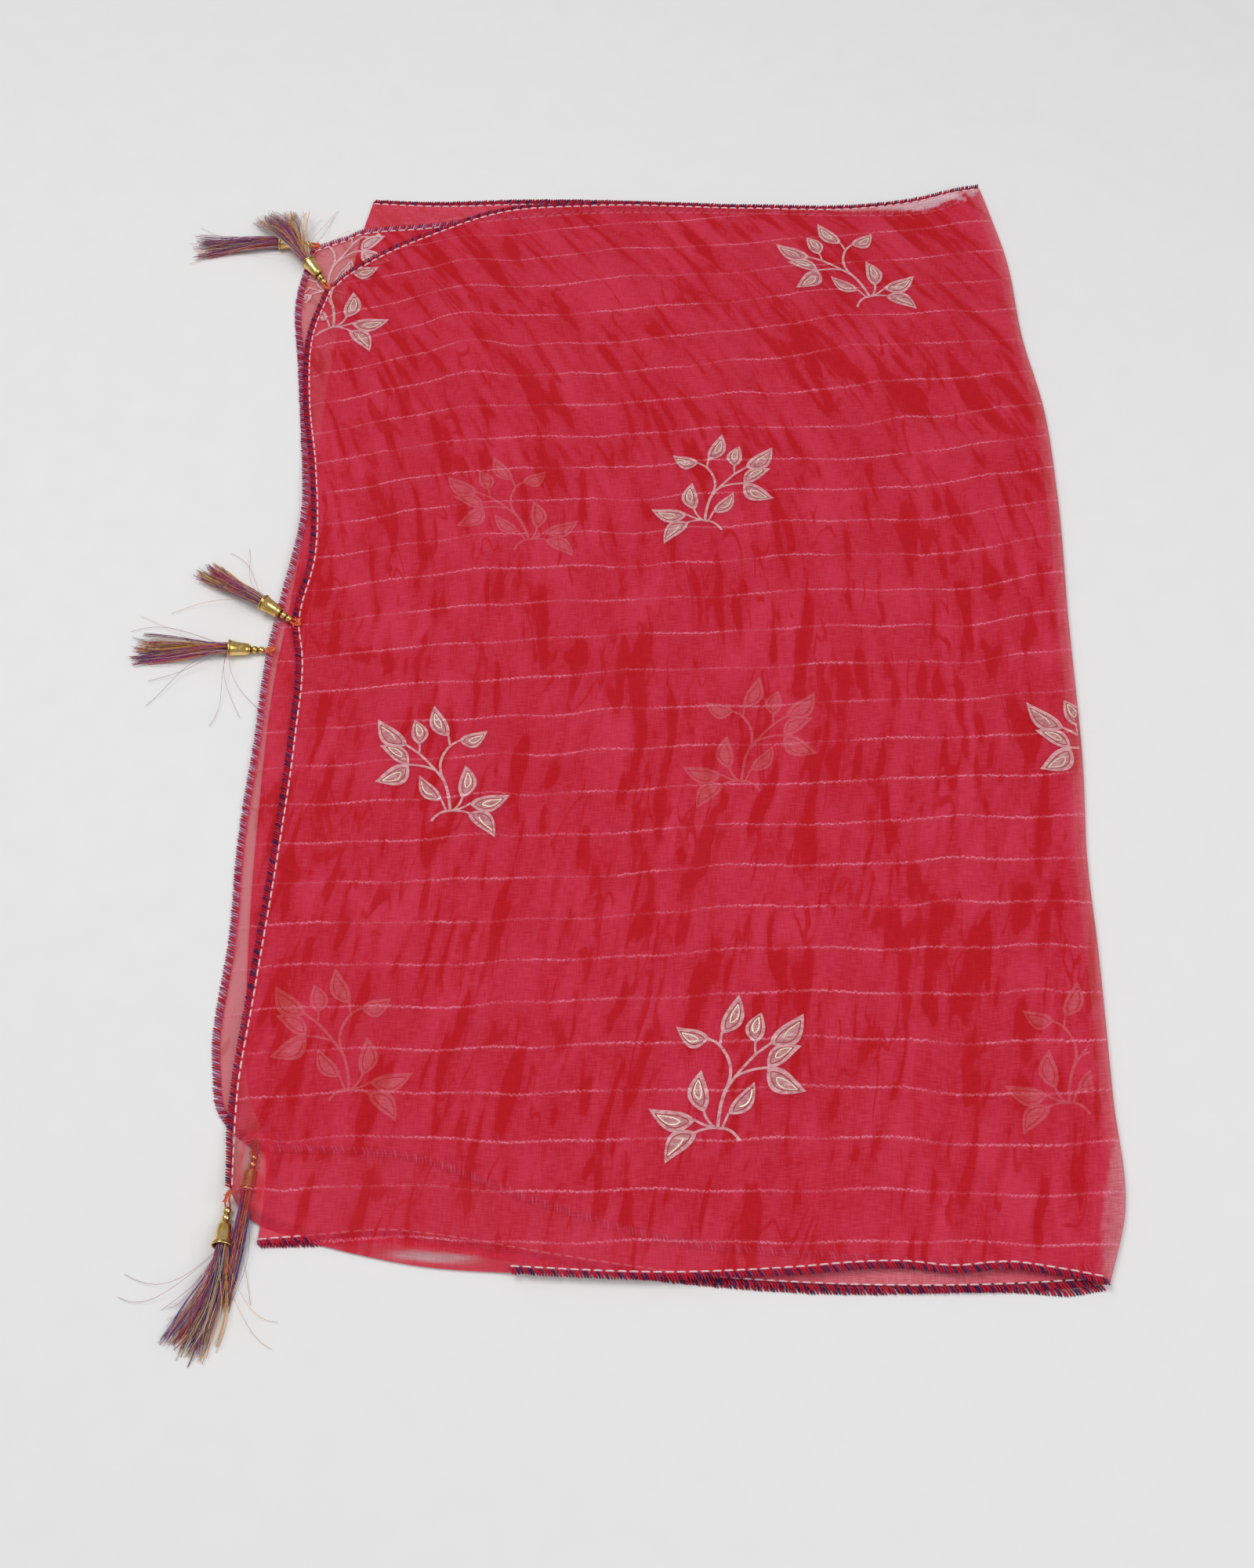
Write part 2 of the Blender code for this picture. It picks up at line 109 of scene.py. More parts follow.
# Outlines from above. Columns: x, y.
TOP_LAYER = {
    "left": (
        (-183.5, -281), (-186, -252), (-183, -190), (-179, -124), (-176.5, -60), (-177, -14), (-180, 3),
        (-175.5, 45), (-180, 105), (-187, 150), (-188.5, 197), (-181.5, 229.5),
    ),
    "right": (
        (174, -320.5), (183.5, -292), (185, -240), (187, -170), (187.5, -125), (191, -80), (194, 10),
        (197, 85), (196, 145), (190, 192), (187, 250), (177, 305),
    ),
    "bottom": (
        (-183.5, -281), (-177, -291), (-165, -298.5), (-148, -303.5), (-130, -308), (-108, -312.5),
        (-58, -316.5), (0, -318.5), (50, -316.5), (95, -314), (113, -316), (136, -314.8), (156, -317),
        (174, -320.5),
    ),
    "top": (
        (-181.5, 229.5), (-158, 250), (-125, 270.5), (-90, 286.5), (-40, 292), (50, 290), (111, 290),
        (156, 298.5), (177, 305),
    ),
}
SECOND_LAYER = {
    "left": (
        (-174, -263), (-190, -247), (-195, -225), (-194, -160), (-195, -116), (-192.5, -60), (-191, -9),
        (-187.5, 20), (-181.5, 75), (-186, 125), (-191, 169), (-196.5, 225), (-191.5, 260.5),
    ),
    "right": ((170, -315), (180, -240), (182, -125), (190, 10), (191, 145), (185, 220), (171, 300)),
    "bottom": ((-174, -263), (-105, -268), (-60, -285), (0, -303), (60, -309), (170, -315)),
    "top": (
        (-191.5, 260.5), (-172, 269.5), (-125, 276.5), (-99, 281), (-40, 287.5), (50, 287.5), (118, 286),
        (142, 287), (156, 291), (171, 300),
    ),
}
INNER_LEFT = (
    (-169.5, -304), (-168.5, -285), (-170, -262), (-180, -235), (-184, -200), (-186.5, -160), (-188, -100),
    (-187.5, -30), (-183.5, 20), (-178, 100), (-175, 180), (-169, 240), (-165, 273), (-160.5, 296.5),
)
LOWEST_OUTLINE = {
    "left": INNER_LEFT,
    "right": [(x - FOLD_RETURN, y) for x, y in TOP_LAYER["right"]],
    "bottom": (
        (-169.5, -304), (-145, -303.5), (-118, -302), (-90, -306), (-50, -312), (13, -320), (56, -323),
        (144, -323), (160, -324), (172.5, -322),
    ),
    "top": (
        (-160.5, 296.5), (-126, 296), (-73, 298), (-20, 297), (30, 293.5), (80, 291), (118, 286.5),
        (142, 286.5), (155, 290), (174, 305),
    ),
}
THIRD_OUTLINE = {
    "left": INNER_LEFT,
    "right": ((167, -318), (177, -240), (179, -125), (187, 10), (188, 145), (182, 220), (169, 296)),
    "bottom": (
        (-169.5, -304), (-145, -302), (-118, -300), (-90, -303), (-50, -310), (13, -319), (56, -322),
        (144, -322), (168, -320.5),
    ),
    "top": (
        (-160.5, 296.5), (-126, 294.5), (-73, 296), (-20, 294.5), (30, 291.5), (80, 289), (118, 285.5),
        (142, 285.5), (155, 288.5), (169, 296),
    ),
}

# The top layer's largest soft ridges. Columns: x and y of the middle, length, width, height; lean is
# in degrees from +Y towards +X.
RIDGES = (
    (-120, 215, 120, 42, 1.6, -35), (-60, 190, 150, 40, 1.8, -28), (-10, 225, 110, 38, 1.4, -22),
    (35, 170, 150, 42, 2.0, -20), (85, 215, 120, 40, 1.6, -30), (120, 140, 160, 42, 2.2, -28),
    (160, 190, 150, 38, 2.0, -20), (165, 90, 120, 38, 1.6, -12), (-140, 110, 150, 42, 1.6, -10),
    (-95, 60, 140, 40, 1.8, -6), (-40, 75, 130, 40, 1.4, -4), (10, 50, 150, 42, 1.8, 2),
    (65, 40, 140, 40, 1.6, 4), (120, 20, 160, 42, 2.0, -6), (165, -30, 140, 38, 1.6, 2),
    (-135, -60, 150, 42, 1.6, 8), (-80, -90, 160, 42, 2.0, 10), (-30, -60, 150, 40, 1.6, 12),
    (25, -110, 170, 42, 2.2, 12), (75, -80, 150, 40, 1.6, 14), (125, -130, 160, 42, 2.0, 10),
    (160, -190, 140, 38, 1.8, 6), (-130, -180, 130, 42, 1.6, 10), (-75, -215, 140, 42, 1.8, 12),
    (-15, -220, 150, 40, 1.6, 10), (45, -235, 130, 42, 2.0, 12), (100, -245, 120, 40, 1.8, 8),
    (150, -265, 90, 38, 1.6, 4), (-130, -264, 100, 26, 1.0, 84), (60, -306, 50, 56, 1.4, 0),
    (130, -306, 60, 60, 2.4, 0), (165, 292, 50, 44, 2.0, -60),
)

# Creases where the top layer sinks onto the next one. Columns as above, with strength for height.
FULL_WIDTH = 11.0
CREASE_DEPTH = 1.3
CREASE_BOW = 0.5
CREASE_WAVE = 0.25
CREASE_TAPER = 0.5
CREASE_SHARPNESS = 0.65
CREASES = (
    (-80, 248, 60, 12, 0.8, -10), (-52, 212, 66, 6, 1.0, -24), (-52, 150, 64, 11, 0.9, -14),
    (-25, 190, 70, 9, 0.6, -26), (-111, 140, 84, 10, 0.9, -15), (-96, 122, 44, 8, 0.7, -12),
    (-151, 142, 38, 8, 0.9, -22), (-138, 112, 50, 9, 1.0, -8), (-158, 238, 40, 14, 0.6, -20),
    (-120, 232, 50, 20, 0.5, -20), (-70, 160, 60, 8, 0.7, -32), (-20, 130, 60, 10, 0.7, -5),
    (-8, 172, 60, 8, 0.6, -30), (-125, 190, 50, 12, 0.5, -20), (-88, 200, 40, 8, 0.5, -20),
    (22, 247, 30, 8, 0.9, -30), (42, 207, 70, 10, 0.9, -34), (61, 180, 38, 14, 0.9, -20),
    (60, 228, 60, 10, 0.7, -44), (15, 138, 42, 10, 0.8, -16), (51, 124, 38, 10, 0.8, -32),
    (93, 172, 62, 13, 0.9, -26), (123, 151, 44, 14, 0.8, -26), (80, 262, 60, 16, 0.6, -20),
    (52, 281, 24, 8, 0.9, 0), (135, 270, 40, 10, 0.8, -26), (168, 162, 70, 22, 1.0, -34),
    (188, 132, 46, 18, 1.0, -34), (172, 136, 50, 10, 0.9, -54), (152, 250, 60, 20, 0.6, -20),
    (132, 108, 46, 10, 0.7, -30), (105, 215, 40, 10, 0.7, -36), (140, 200, 50, 10, 0.6, -30),
    (-139, 70, 44, 10, 1.0, -22), (-148, 96, 30, 8, 0.8, -10), (-120, 40, 50, 7, 0.5, 0),
    (-172, 42, 60, 5, 0.8, 8), (-146, -15, 50, 9, 1.0, -74), (-120, -18, 40, 9, 0.7, -84),
    (-27, -28, 64, 12, 1.0, 3), (-12, -22, 84, 9, 1.0, 4), (-3, -58, 90, 11, 0.9, 2),
    (-18, -28, 56, 3, 0.9, -4), (-60, -60, 60, 8, 0.5, 0), (-40, 80, 60, 8, 0.5, 0),
    (-62, 14, 50, 8, 0.5, 0), (-80, 22, 50, 8, 0.4, 0), (-112, -35, 36, 5, 0.7, 10),
    (-145, -75, 60, 6, 0.5, 5), (-165, -90, 40, 6, 0.5, 5), (-70, -95, 60, 8, 0.5, 5),
    (127, 58, 74, 26, 1.0, 0), (157, 40, 80, 9, 0.9, -12), (187, 84, 42, 14, 0.9, -12),
    (148, 66, 60, 8, 0.8, -12), (174, 22, 76, 7, 0.8, -10), (164, -52, 76, 9, 0.9, 0),
    (103, -28, 34, 60, 1.0, 0), (78, -34, 26, 40, 0.8, 0), (60, -10, 56, 10, 0.7, -10),
    (72, -6, 46, 12, 0.8, 0), (20, -40, 110, 6, 0.6, 2), (25, 20, 50, 6, 0.6, -6), (18, 0, 46, 5, 0.6, -3),
    (140, -60, 76, 6, 0.8, -6), (150, -50, 58, 6, 0.8, 4), (65, -85, 56, 7, 0.7, -2),
    (130, -92, 56, 6, 0.7, 0), (85, -52, 46, 9, 0.8, 6), (100, 20, 60, 9, 0.5, -6),
    (-151, -127, 22, 14, 1.0, 10), (-155, -146, 34, 7, 1.0, 12), (-170, -131, 24, 10, 0.9, -60),
    (-136, -153, 62, 5, 1.0, 3), (-160, -176, 26, 5, 0.9, 14), (-168, -200, 64, 12, 0.7, 5),
    (-36, -128, 44, 7, 1.0, -12), (-25, -130, 46, 6, 1.0, 10), (-29, -152, 22, 10, 1.0, 0),
    (-33, -171, 40, 7, 1.0, 20), (-13, -110, 40, 8, 1.0, 8), (-9, -136, 28, 4, 0.9, -6),
    (-15, -176, 60, 4, 0.7, 16), (-4, -176, 70, 10, 1.0, 14), (-26, -210, 60, 4, 0.7, 14),
    (-13, -222, 60, 6, 0.9, 16), (-45, -206, 56, 4, 0.6, 16), (-62, -212, 40, 5, 0.7, 16),
    (-76, -206, 40, 5, 0.6, 16), (-88, -280, 40, 8, 1.0, 3), (-72, -286, 40, 6, 0.9, 5),
    (-88, -252, 40, 5, 0.7, 8), (-18, -294, 56, 4, 0.9, -4), (-38, -256, 50, 6, 0.6, 6),
    (-152, -288, 26, 6, 0.7, 0), (-80, -162, 50, 13, 0.6, 0), (-118, -182, 40, 8, 0.5, 5),
    (-155, -267, 74, 6, 0.8, 85), (32, -292, 56, 8, 1.0, 1), (12, -128, 50, 8, 1.0, 14),
    (18, -112, 34, 8, 0.9, 22), (6, -154, 40, 10, 0.9, 6), (35, -150, 48, 5, 0.8, 5),
    (22, -165, 56, 4, 0.7, 6), (60, -125, 34, 9, 0.8, 0), (92, -150, 40, 7, 0.9, -4),
    (97, -167, 40, 6, 0.9, 6), (110, -142, 48, 7, 0.9, 0), (104, -165, 26, 10, 0.9, 30),
    (101, -186, 48, 8, 1.0, 0), (97, -206, 50, 5, 0.8, 6), (84, -216, 62, 8, 1.0, 10),
    (87, -250, 48, 5, 0.8, 6), (70, -230, 48, 5, 0.7, 5), (124, -180, 38, 12, 1.0, 16),
    (130, -160, 46, 7, 0.7, 0), (129, -215, 90, 5, 0.8, 9), (121, -275, 70, 7, 0.9, 14),
    (152, -226, 52, 9, 1.0, 14), (162, -160, 38, 13, 1.0, 10), (168, -120, 56, 8, 0.9, 0),
    (170, -184, 56, 8, 0.9, 4), (186, -240, 70, 9, 0.9, -8), (180, -286, 60, 8, 0.9, 4),
    (155, -290, 28, 4, 0.7, 0), (58, -184, 60, 15, 0.6, 0), (130, -308, 30, 8, 0.5, 0),
    (60, -268, 60, 6, 0.4, 84), (40, -110, 40, 6, 0.6, 10), (182, -150, 40, 5, 0.6, 0),
)

# Places where the stripes run off their even spacing. Columns: x, y, half width, half height, rise.
STRIPE_SHIFTS = (
    (-110, 160, 70, 90, 5), (-182, 160, 50, 90, -6), (105, 195, 70, 45, 5), (110, 125, 70, 45, -5),
    (150, 40, 50, 80, -4), (195, 60, 40, 90, 5), (-90, 40, 50, 60, 4), (-175, 60, 40, 70, -3),
    (-20, -20, 90, 60, 2), (40, -200, 90, 70, 3), (-120, -260, 60, 50, 3), (-30, 250, 70, 40, 4),
    (-60, -150, 60, 40, -2), (150, -260, 60, 50, -3), (-104, 235, 20, 45, 6), (-103, 180, 18, 30, 4),
)

# The bare place along the upper right hem: x, y of its middle and half its height; then one beside it,
# with x, y and half its size.
SLIVER = np.array((
    (118, 288.5, 0.0), (124, 288.4, 0.7), (130, 288.6, 1.2), (137, 289.2, 2.2), (146, 290.4, 4.0),
    (152, 292.4, 4.0), (157.5, 295.0, 3.6), (164, 296.4, 3.2), (168, 294.6, 2.0), (171.5, 292.0, 0.0),
))
CORNER_PATCH = (173.5, 299.0, 4.4)
# Bare places at the lower left. Columns: x and y of the middle, half width, half height.
BARE_EDGE = (-98.0, -309.8, 27.0, 2.4)
BARE_TIP = (-186.5, -262.0, 9.0, 26.0)
BARE_EDGE_SLOPE = -0.06
# How wide each sheet's hems look, and how softly they end.
TOP_HEM = 3.2
SECOND_HEM = 3.4
INNER_HEM = 4.5
HEM_SOFTNESS = 1.2

# Leaf sprigs. Columns: layer, x and y of the junction, turn in degrees, mirrored, size.
SPRIGS = (
    ("top", 112, 221, 15, True, 0.92), ("top", -100, -101, 0, True, 0.89), ("top", 212, -92, 4, True, 0.96),
    ("top", -176, 199, -6, True, 0.95), ("top", 20, 67, 0, False, 0.88), ("top", 19, -255, 0, False, 0.95),
    ("second", -182, 229, 8, False, 0.9), ("second", -68, 57, 10, True, 0.86),
    ("second", 34, -84, 0, False, 0.90), ("second", -137, -237, 0, True, 0.88),
    ("second", 168, -243, 0, False, 0.88),
)
# One sprig's stems, from its junction. Columns: start x and y, bend x and y, end x and y, width.
STEMS = (
    (0, 0, 6, 0.6, 9.5, -6, 1.3), (0, 0, -5, 0.4, -10, -2, 1.1), (-1, 0, -6, 1, -10.5, 4, 1.1),
    (-1, 0, -5, 3, -6, 8, 1.2), (2, 0, 3.5, 3.5, 5, 7, 1.0), (0, 0, 1, 11, 4, 18, 1.5),
    (4, 18, 10, 30, 1.5, 40, 1.4), (1.5, 40, -1, 42, -3.5, 43, 1.2), (2, 40, 2.5, 43, 3, 46, 1.1),
    (4, 18, 9, 26, 18, 35, 1.3), (18, 35, 22, 38, 25, 40, 1.2), (18, 35, 17.5, 38, 18, 41, 1.0),
    (8, 24, 14, 28, 23, 28, 1.2),
)
# One sprig's leaves. Columns: base x and y, heading, length, width, bend.
LEAVES = (
    (-9.5, -2, 219, 20, 9.5, -2), (-10, 3.5, 172, 21, 10, 2), (-6, 7.5, 97, 20, 9.5, 1.5),
    (5, 6.5, 46, 19, 8, -1.5), (-3, 43, 168, 15.5, 9.5, 2), (3, 45.5, 62, 21, 9, -1.5),
    (18, 40.5, 82, 15.5, 9, 1), (24.5, 39.5, 38, 22, 10.5, -2), (23, 28, 40, 19, 8.5, 1.5),
    (23, 28, -40, 20, 11.5, -2),
)

# Step up from each stem or leaf of a sprig to the next one, where they overlap.
STRIP_STEP = 0.0016
STEM_ROWS = 9
LEAF_ROWS = 15
# Prints end this far from a hem.
HEM_INSET = 2.5

# Six tassels. Columns: name, x, y and z of the cap's mouth; heading of the threads at the mouth and
# their turn over the length, in degrees from +X; half width at the tips; rise of the threads' middle;
# length of the loop that ties the cap to the hem; shift of the thread colours.
TASSELS = (
    ("upper_corner", -192.7, 245.6, 5.8, 125, -18, 18.0, 6.2, 5.0, 0.10),
    ("upper_corner_under", -210.6, 262.0, 4.4, 181, 4, 9.0, 0.0, 5.0, 0.35),
    ("middle", -196.1, 15.0, 7.5, 147, -12, 6.5, 1.5, 5.0, 0.20),
    ("middle_under", -211.0, -10.0, 4.4, 180, 4, 9.0, 0.0, 5.0, 0.30),
    ("lower_corner", -183.8, -306.0, 4.4, 268, -34, 11.5, 0.0, 6.0, 0.15),
    ("lower_corner_under", -175.4, -283.1, 4.4, 266, -11, 3.0, 0.0, 5.0, 0.42),
)
HIDDEN_TASSEL = TASSELS[5]
# Share of the threads' full length, where a tassel has shorter ones.
THREAD_SHARES = {"middle": 0.88}
# Stray threads. Columns: tassel, heading at the mouth, turn, length, colour.
STRAYS = (
    (0, 96, -20, 52, 0.72), (0, 84, -10, 46, 0.80), (0, 72, -18, 40, 0.30), (0, 104, 10, 56, 0.75),
    (0, 150, 16, 50, 0.28), (1, 168, 8, 56, 0.80), (1, 194, -8, 54, 0.72), (2, 120, -10, 44, 0.60),
    (2, 108, 12, 46, 0.62), (2, 172, 8, 52, 0.72), (3, 152, 14, 58, 0.92), (3, 150, 6, 56, 0.30),
    (3, 205, 12, 54, 0.48), (3, 214, -6, 46, 0.46), (3, 262, 18, 44, 0.80), (3, 268, -6, 48, 0.78),
    (3, 280, 14, 44, 0.80), (4, 236, -30, 54, 0.78), (4, 226, -26, 50, 0.80), (4, 276, 24, 54, 0.72),
    (4, 290, 20, 46, 0.28), (4, 240, 10, 50, 0.46), (5, 262, 12, 52, 0.75), (5, 276, -6, 50, 0.48),
    (4, 250, -12, 40, 0.98), (4, 246, -14, 38, 0.90), (4, 252, -10, 42, 0.94), (4, 243, -12, 36, 1.00),
    (4, 248, -16, 34, 0.86), (4, 255, -12, 44, 0.96), (0, 92, 4, 34, 0.98), (0, 110, -8, 40, 0.94),
    (0, 100, -12, 44, 1.00), (0, 118, 8, 46, 0.28), (1, 176, -10, 54, 0.98), (1, 186, 6, 56, 0.72),
)

# Colours of the space-dyed threads, along a run from 0 to 1. Columns: place, red, green, blue.
THREAD_DYES = (
    (0.00, 0.130, 0.008, 0.020), (0.08, 0.550, 0.250, 0.040), (0.16, 0.900, 0.560, 0.100),
    (0.25, 0.950, 0.300, 0.050), (0.33, 0.900, 0.720, 0.420), (0.41, 0.500, 0.290, 0.060),
    (0.48, 0.090, 0.030, 0.220), (0.55, 0.050, 0.050, 0.340), (0.62, 0.750, 0.070, 0.060),
    (0.69, 0.900, 0.500, 0.080), (0.76, 0.300, 0.020, 0.080), (0.83, 0.620, 0.080, 0.300),
    (0.90, 0.120, 0.025, 0.140), (1.00, 0.750, 0.550, 0.500),
)
HEM_DYES = (
    (0.00, 0.56, 0.008, 0.028), (0.42, 0.46, 0.008, 0.040), (0.50, 0.18, 0.006, 0.050),
    (0.57, 0.050, 0.010, 0.070), (0.68, 0.070, 0.018, 0.110), (0.74, 0.300, 0.050, 0.150),
    (0.80, 0.580, 0.014, 0.042), (0.86, 0.520, 0.060, 0.160), (0.92, 0.620, 0.320, 0.480),
    (1.00, 0.480, 0.080, 0.200),
)
# Colours of the cloth. The haze colours hold painted light, scattered between the floating top layer and the
# one below.
CLOTH_COLOURS = {
    "painted_haze": (0.640, 0.0160, 0.0460), "pale_painted_haze": (0.730, 0.0330, 0.0820), "sunk": (0.620, 0.0060, 0.0220),
    "pale_thread": (0.800, 0.0600, 0.1150), "dark_thread": (0.560, 0.0060, 0.0220),
    "deep": (0.540, 0.0015, 0.0070), "pale_deep": (0.610, 0.0060, 0.0180), "stripe": (0.860, 0.2400, 0.3400),
    "hem": (0.600, 0.0120, 0.0400), "single": (0.620, 0.230, 0.290), "pale_single": (0.860, 0.500, 0.560),
    "shade": (0.300, 0.0300, 0.0600),
}

# Noises of the cloth. Columns: size across and along in metres, detail, distortion, seed.
# Down the streaks: streaks, broad ones, frayed ones, wandering lines, their patches, puckers.
STREAK_NOISES = (
    (0.0078, 0.042, 1.3, 0.5, 1.0), (0.026, 0.070, 2.0, 0.4, 8.0), (0.0012, 0.0050, 2.0, 0.0, 4.0),
    (0.0120, 0.050, 1.6, 0.8, 12.0), (0.018, 0.040, 2.0, 0.0, 15.0), (0.0035, 0.016, 2.0, 0.4, 10.0),
)
# Along the weave: clouds, weft, warp, crepe.
WEAVE_NOISES = (
    (0.030, 0.045, 3.0, 0.4, 2.0), (0.0060, 0.00045, 2.0, 0.0, 6.0), (0.00050, 0.0060, 2.0, 0.0, 7.0),
    (0.0009, 0.0006, 2.0, 0.0, 9.0),
)

RAGGED = np.random.default_rng(7)


def smoothstep(value):
    """Eases from 0 to 1 as the value goes from 0 to 1."""
    t = np.clip(value, 0.0, 1.0)
    return t * t * (3.0 - 2.0 * t)


def bump(value):
    """A rounded hump that is 1 at 0 and falls to 0 at 1 on either side."""
    return np.cos(0.5 * np.pi * np.minimum(np.abs(value), 1.0)) ** 2


def smooth_path(rows):
    """A smooth curve through the rows, as a function of shares of its length, and that length."""
    points = np.array(rows, float)
    chords = np.linalg.norm(np.diff(points, axis=0), axis=1)
    along = np.concatenate(([0.0], np.cumsum(chords)))
    slopes = np.gradient(points, along, axis=0)

    def at(shares):
        where = np.clip(shares, 0.0, 1.0) * along[-1]
        k = np.clip(np.searchsorted(along, where, side="right") - 1, 0, len(chords) - 1)
        reach = chords[k][..., None]
        t = (where - along[k])[..., None] / reach
        ease = t * t * (3.0 - 2.0 * t)
        leave = t * (1.0 - t) ** 2 * reach
        arrive = t * t * (t - 1.0) * reach
        return (1.0 - ease) * points[k] + ease * points[k + 1] + leave * slopes[k] + arrive * slopes[k + 1]

    return at, along[-1]


def patch(outline, u, v):
    """The points at u, from left to right, and v, from bottom to top, of the space between four edges."""
    left, right, bottom, top = (smooth_path(outline[side])[0] for side in ("left", "right", "bottom", "top"))
    u_share = u[..., None]
    v_share = v[..., None]
    start = np.zeros_like(u)
    end = np.ones_like(u)
    between_ends = (1.0 - v_share) * bottom(u) + v_share * top(u)
    between_sides = (1.0 - u_share) * left(v) + u_share * right(v)
    low_corners = (1.0 - u_share) * bottom(start) + u_share * bottom(end)
    high_corners = (1.0 - u_share) * top(start) + u_share * top(end)
    points = between_ends + between_sides - (1.0 - v_share) * low_corners - v_share * high_corners
    return points[..., 0], points[..., 1]


def edge_x(rows, y):
    """Where an edge that runs up the cloth lies at y."""
    x_places, y_places = np.array(rows).T
    return np.interp(y, y_places, x_places)


def edge_y(rows, x):
    """Where an edge that runs across the cloth lies at x."""
    x_places, y_places = np.array(rows).T
    return np.interp(x, x_places, y_places)


def turned(x, y, degrees):
    """Places turned about the middle, anticlockwise."""
    angle = math.radians(degrees)
    return x * math.cos(angle) - y * math.sin(angle), x * math.sin(angle) + y * math.cos(angle)


def second_height(x, y):
    """Height of the second layer, which sags to the table beyond the left fold."""
    on_stack = STACK_HEIGHT + SEAM_GAP + 0.5 * WALL
    share = smoothstep((x - edge_x(INNER_LEFT, y) + EDGE_SAG + FOLD_SHOULDER) / EDGE_SAG)
    return LOWEST_MIDDLE + (on_stack - LOWEST_MIDDLE) * share


def lean_frame(x, y, row):
    """Distances along and across a ridge or crease, as shares of its half length and half width."""
    mid_x, mid_y, length, width, _, lean = row
    across, along = turned(x - mid_x, y - mid_y, lean)
    return 2.0 * along / length, 2.0 * across / width


def ridge_rise(x, y):
    """How far the soft ridges lift the top layer."""
    rise = np.zeros_like(x)
    for row in RIDGES:
        along, across = lean_frame(x, y, row)
        rise += row[4] * bump(along) * bump(across)
    return rise


def crease_depth(x, y):
    """How deep the creases are, and how closely the top layer touches the next one in them."""
    depth = np.zeros_like(x)
    touch = np.zeros_like(x)
    for number, row in enumerate(CREASES):
        strength, width = row[4], row[3]
        along, across = lean_frame(x, y, row)
        bow = CREASE_BOW if number % 2 else -CREASE_BOW
        across = across + bow * (along * along - 0.4) + CREASE_WAVE * np.sin(5.0 * along + number)
        narrow = across * (1.0 + CREASE_TAPER * np.abs(along))
        fullness = strength * min(width, FULL_WIDTH) / FULL_WIDTH
        depth = np.maximum(depth, fullness * bump(along) * bump(CREASE_SHARPNESS * narrow))
        near = np.clip(1.2 - along * along, 0.0, 1.0) * np.clip(1.5 - narrow ** 2, 0.0, 1.0)
        touch = np.maximum(touch, strength * near)
    return depth, touch


def hidden_cap_distance(x, y):
    """Distance in plan from the axis of the cap under the top layer, which droops more on the outer side."""
    mouth_x, mouth_y, _, heading = HIDDEN_TASSEL[1:5]
    ahead, aside = turned(x - mouth_x, y - mouth_y, -heading)
    beyond_ends = np.maximum(np.maximum(ahead - CAP_OVERHANG, -ahead - CAP_LENGTH), 0.0)
    return np.hypot(beyond_ends, np.where(aside > 0.0, aside, OUTER_DROOP * aside))


def top_height(x, y):
    """Height of the top layer: over the second layer, with ridges and creases, and over the hidden cap."""
    second = second_height(x, y)
    resting = second + WALL + LAYER_GAP
    over_cap = 2.0 * CAP_MOUTH_RADIUS + WALL + SEAM_GAP
    near = smoothstep(1.0 - (hidden_cap_distance(x, y) - CAP_MOUTH_RADIUS) / TENT_REACH)
    tent = resting + (over_cap - resting) * near
    draped = resting + ridge_rise(x, y) - CREASE_DEPTH * crease_depth(x, y)[0]
    return np.maximum(np.maximum(draped, second + CLOSEST_LAYERS), tent)


def stripe_place(x, y):
    """Place across the stripes, in millimetres, with a stripe at each whole pitch."""
    shifted = y.copy()
    for mid_x, mid_y, half_width, half_height, rise in STRIPE_SHIFTS:
        shifted -= rise * bump((x - mid_x) / (1.5 * half_width)) * bump((y - mid_y) / (1.5 * half_height))
    for height, run, lean in STRIPE_WAVES:
        shifted += height * np.sin(x / run + y / lean)
    return (shifted - STRIPE_START) / (STRIPE_PITCH + STRIPE_SPREAD * x) * STRIPE_PITCH


def streak_shift(y):
    """How far the streaks lean over by height y: to the right in the lower half, to the left above."""
    upper = np.maximum(y - 20.0, 0.0)
    lower = np.minimum(y + 60.0, 0.0)
    return UPPER_LEAN * upper ** 2 + LOWER_LEAN * lower


def edge_distance(x, y, outline, sides):
    """Distance in plan from the nearest of some edges of an outline."""
    nearest = np.full(x.shape, 1e9)
    for side in sides:
        at, length = smooth_path(outline[side])
        line = at(np.linspace(0.0, 1.0, int(length / 4.0)))
        for start, end in zip(line, line[1:]):
            step = end - start
            t = np.clip(((x - start[0]) * step[0] + (y - start[1]) * step[1]) / (step @ step), 0.0, 1.0)
            nearest = np.minimum(nearest, np.hypot(x - start[0] - t * step[0], y - start[1] - t * step[1]))
    return nearest


def make_object(name, points, faces, material):
    """A mesh object from points in cloth millimetres."""
    mesh = bpy.data.meshes.new(name)
    world = (np.asarray(points, float).reshape(-1, 3) + CLOTH_MIDDLE) * MM
    mesh.from_pydata(world.tolist(), [], faces)
    mesh.shade_smooth()
    mesh.materials.append(material)
    obj = bpy.data.objects.new(name, mesh)
    bpy.context.scene.collection.objects.link(obj)
    return obj


def add_map(obj, name, u, v):
    """Stores a pair of places in metres for each vertex as a UV map."""
    pairs = np.stack((np.ravel(u), np.ravel(v)), axis=1) * MM
    corners = np.empty(len(obj.data.loops), np.int32)
    obj.data.loops.foreach_get("vertex_index", corners)
    layer = obj.data.uv_layers.new(name=name)
    layer.data.foreach_set("uv", pairs[corners].astype(np.float32).ravel())


def finish_piece(obj, slot, *replaced):
    """Makes a piece ride on the one body, and hides the nodes that it stands for. The slot is not used."""
    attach(obj, "root")
    if replaced:
        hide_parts(*replaced)
    return obj


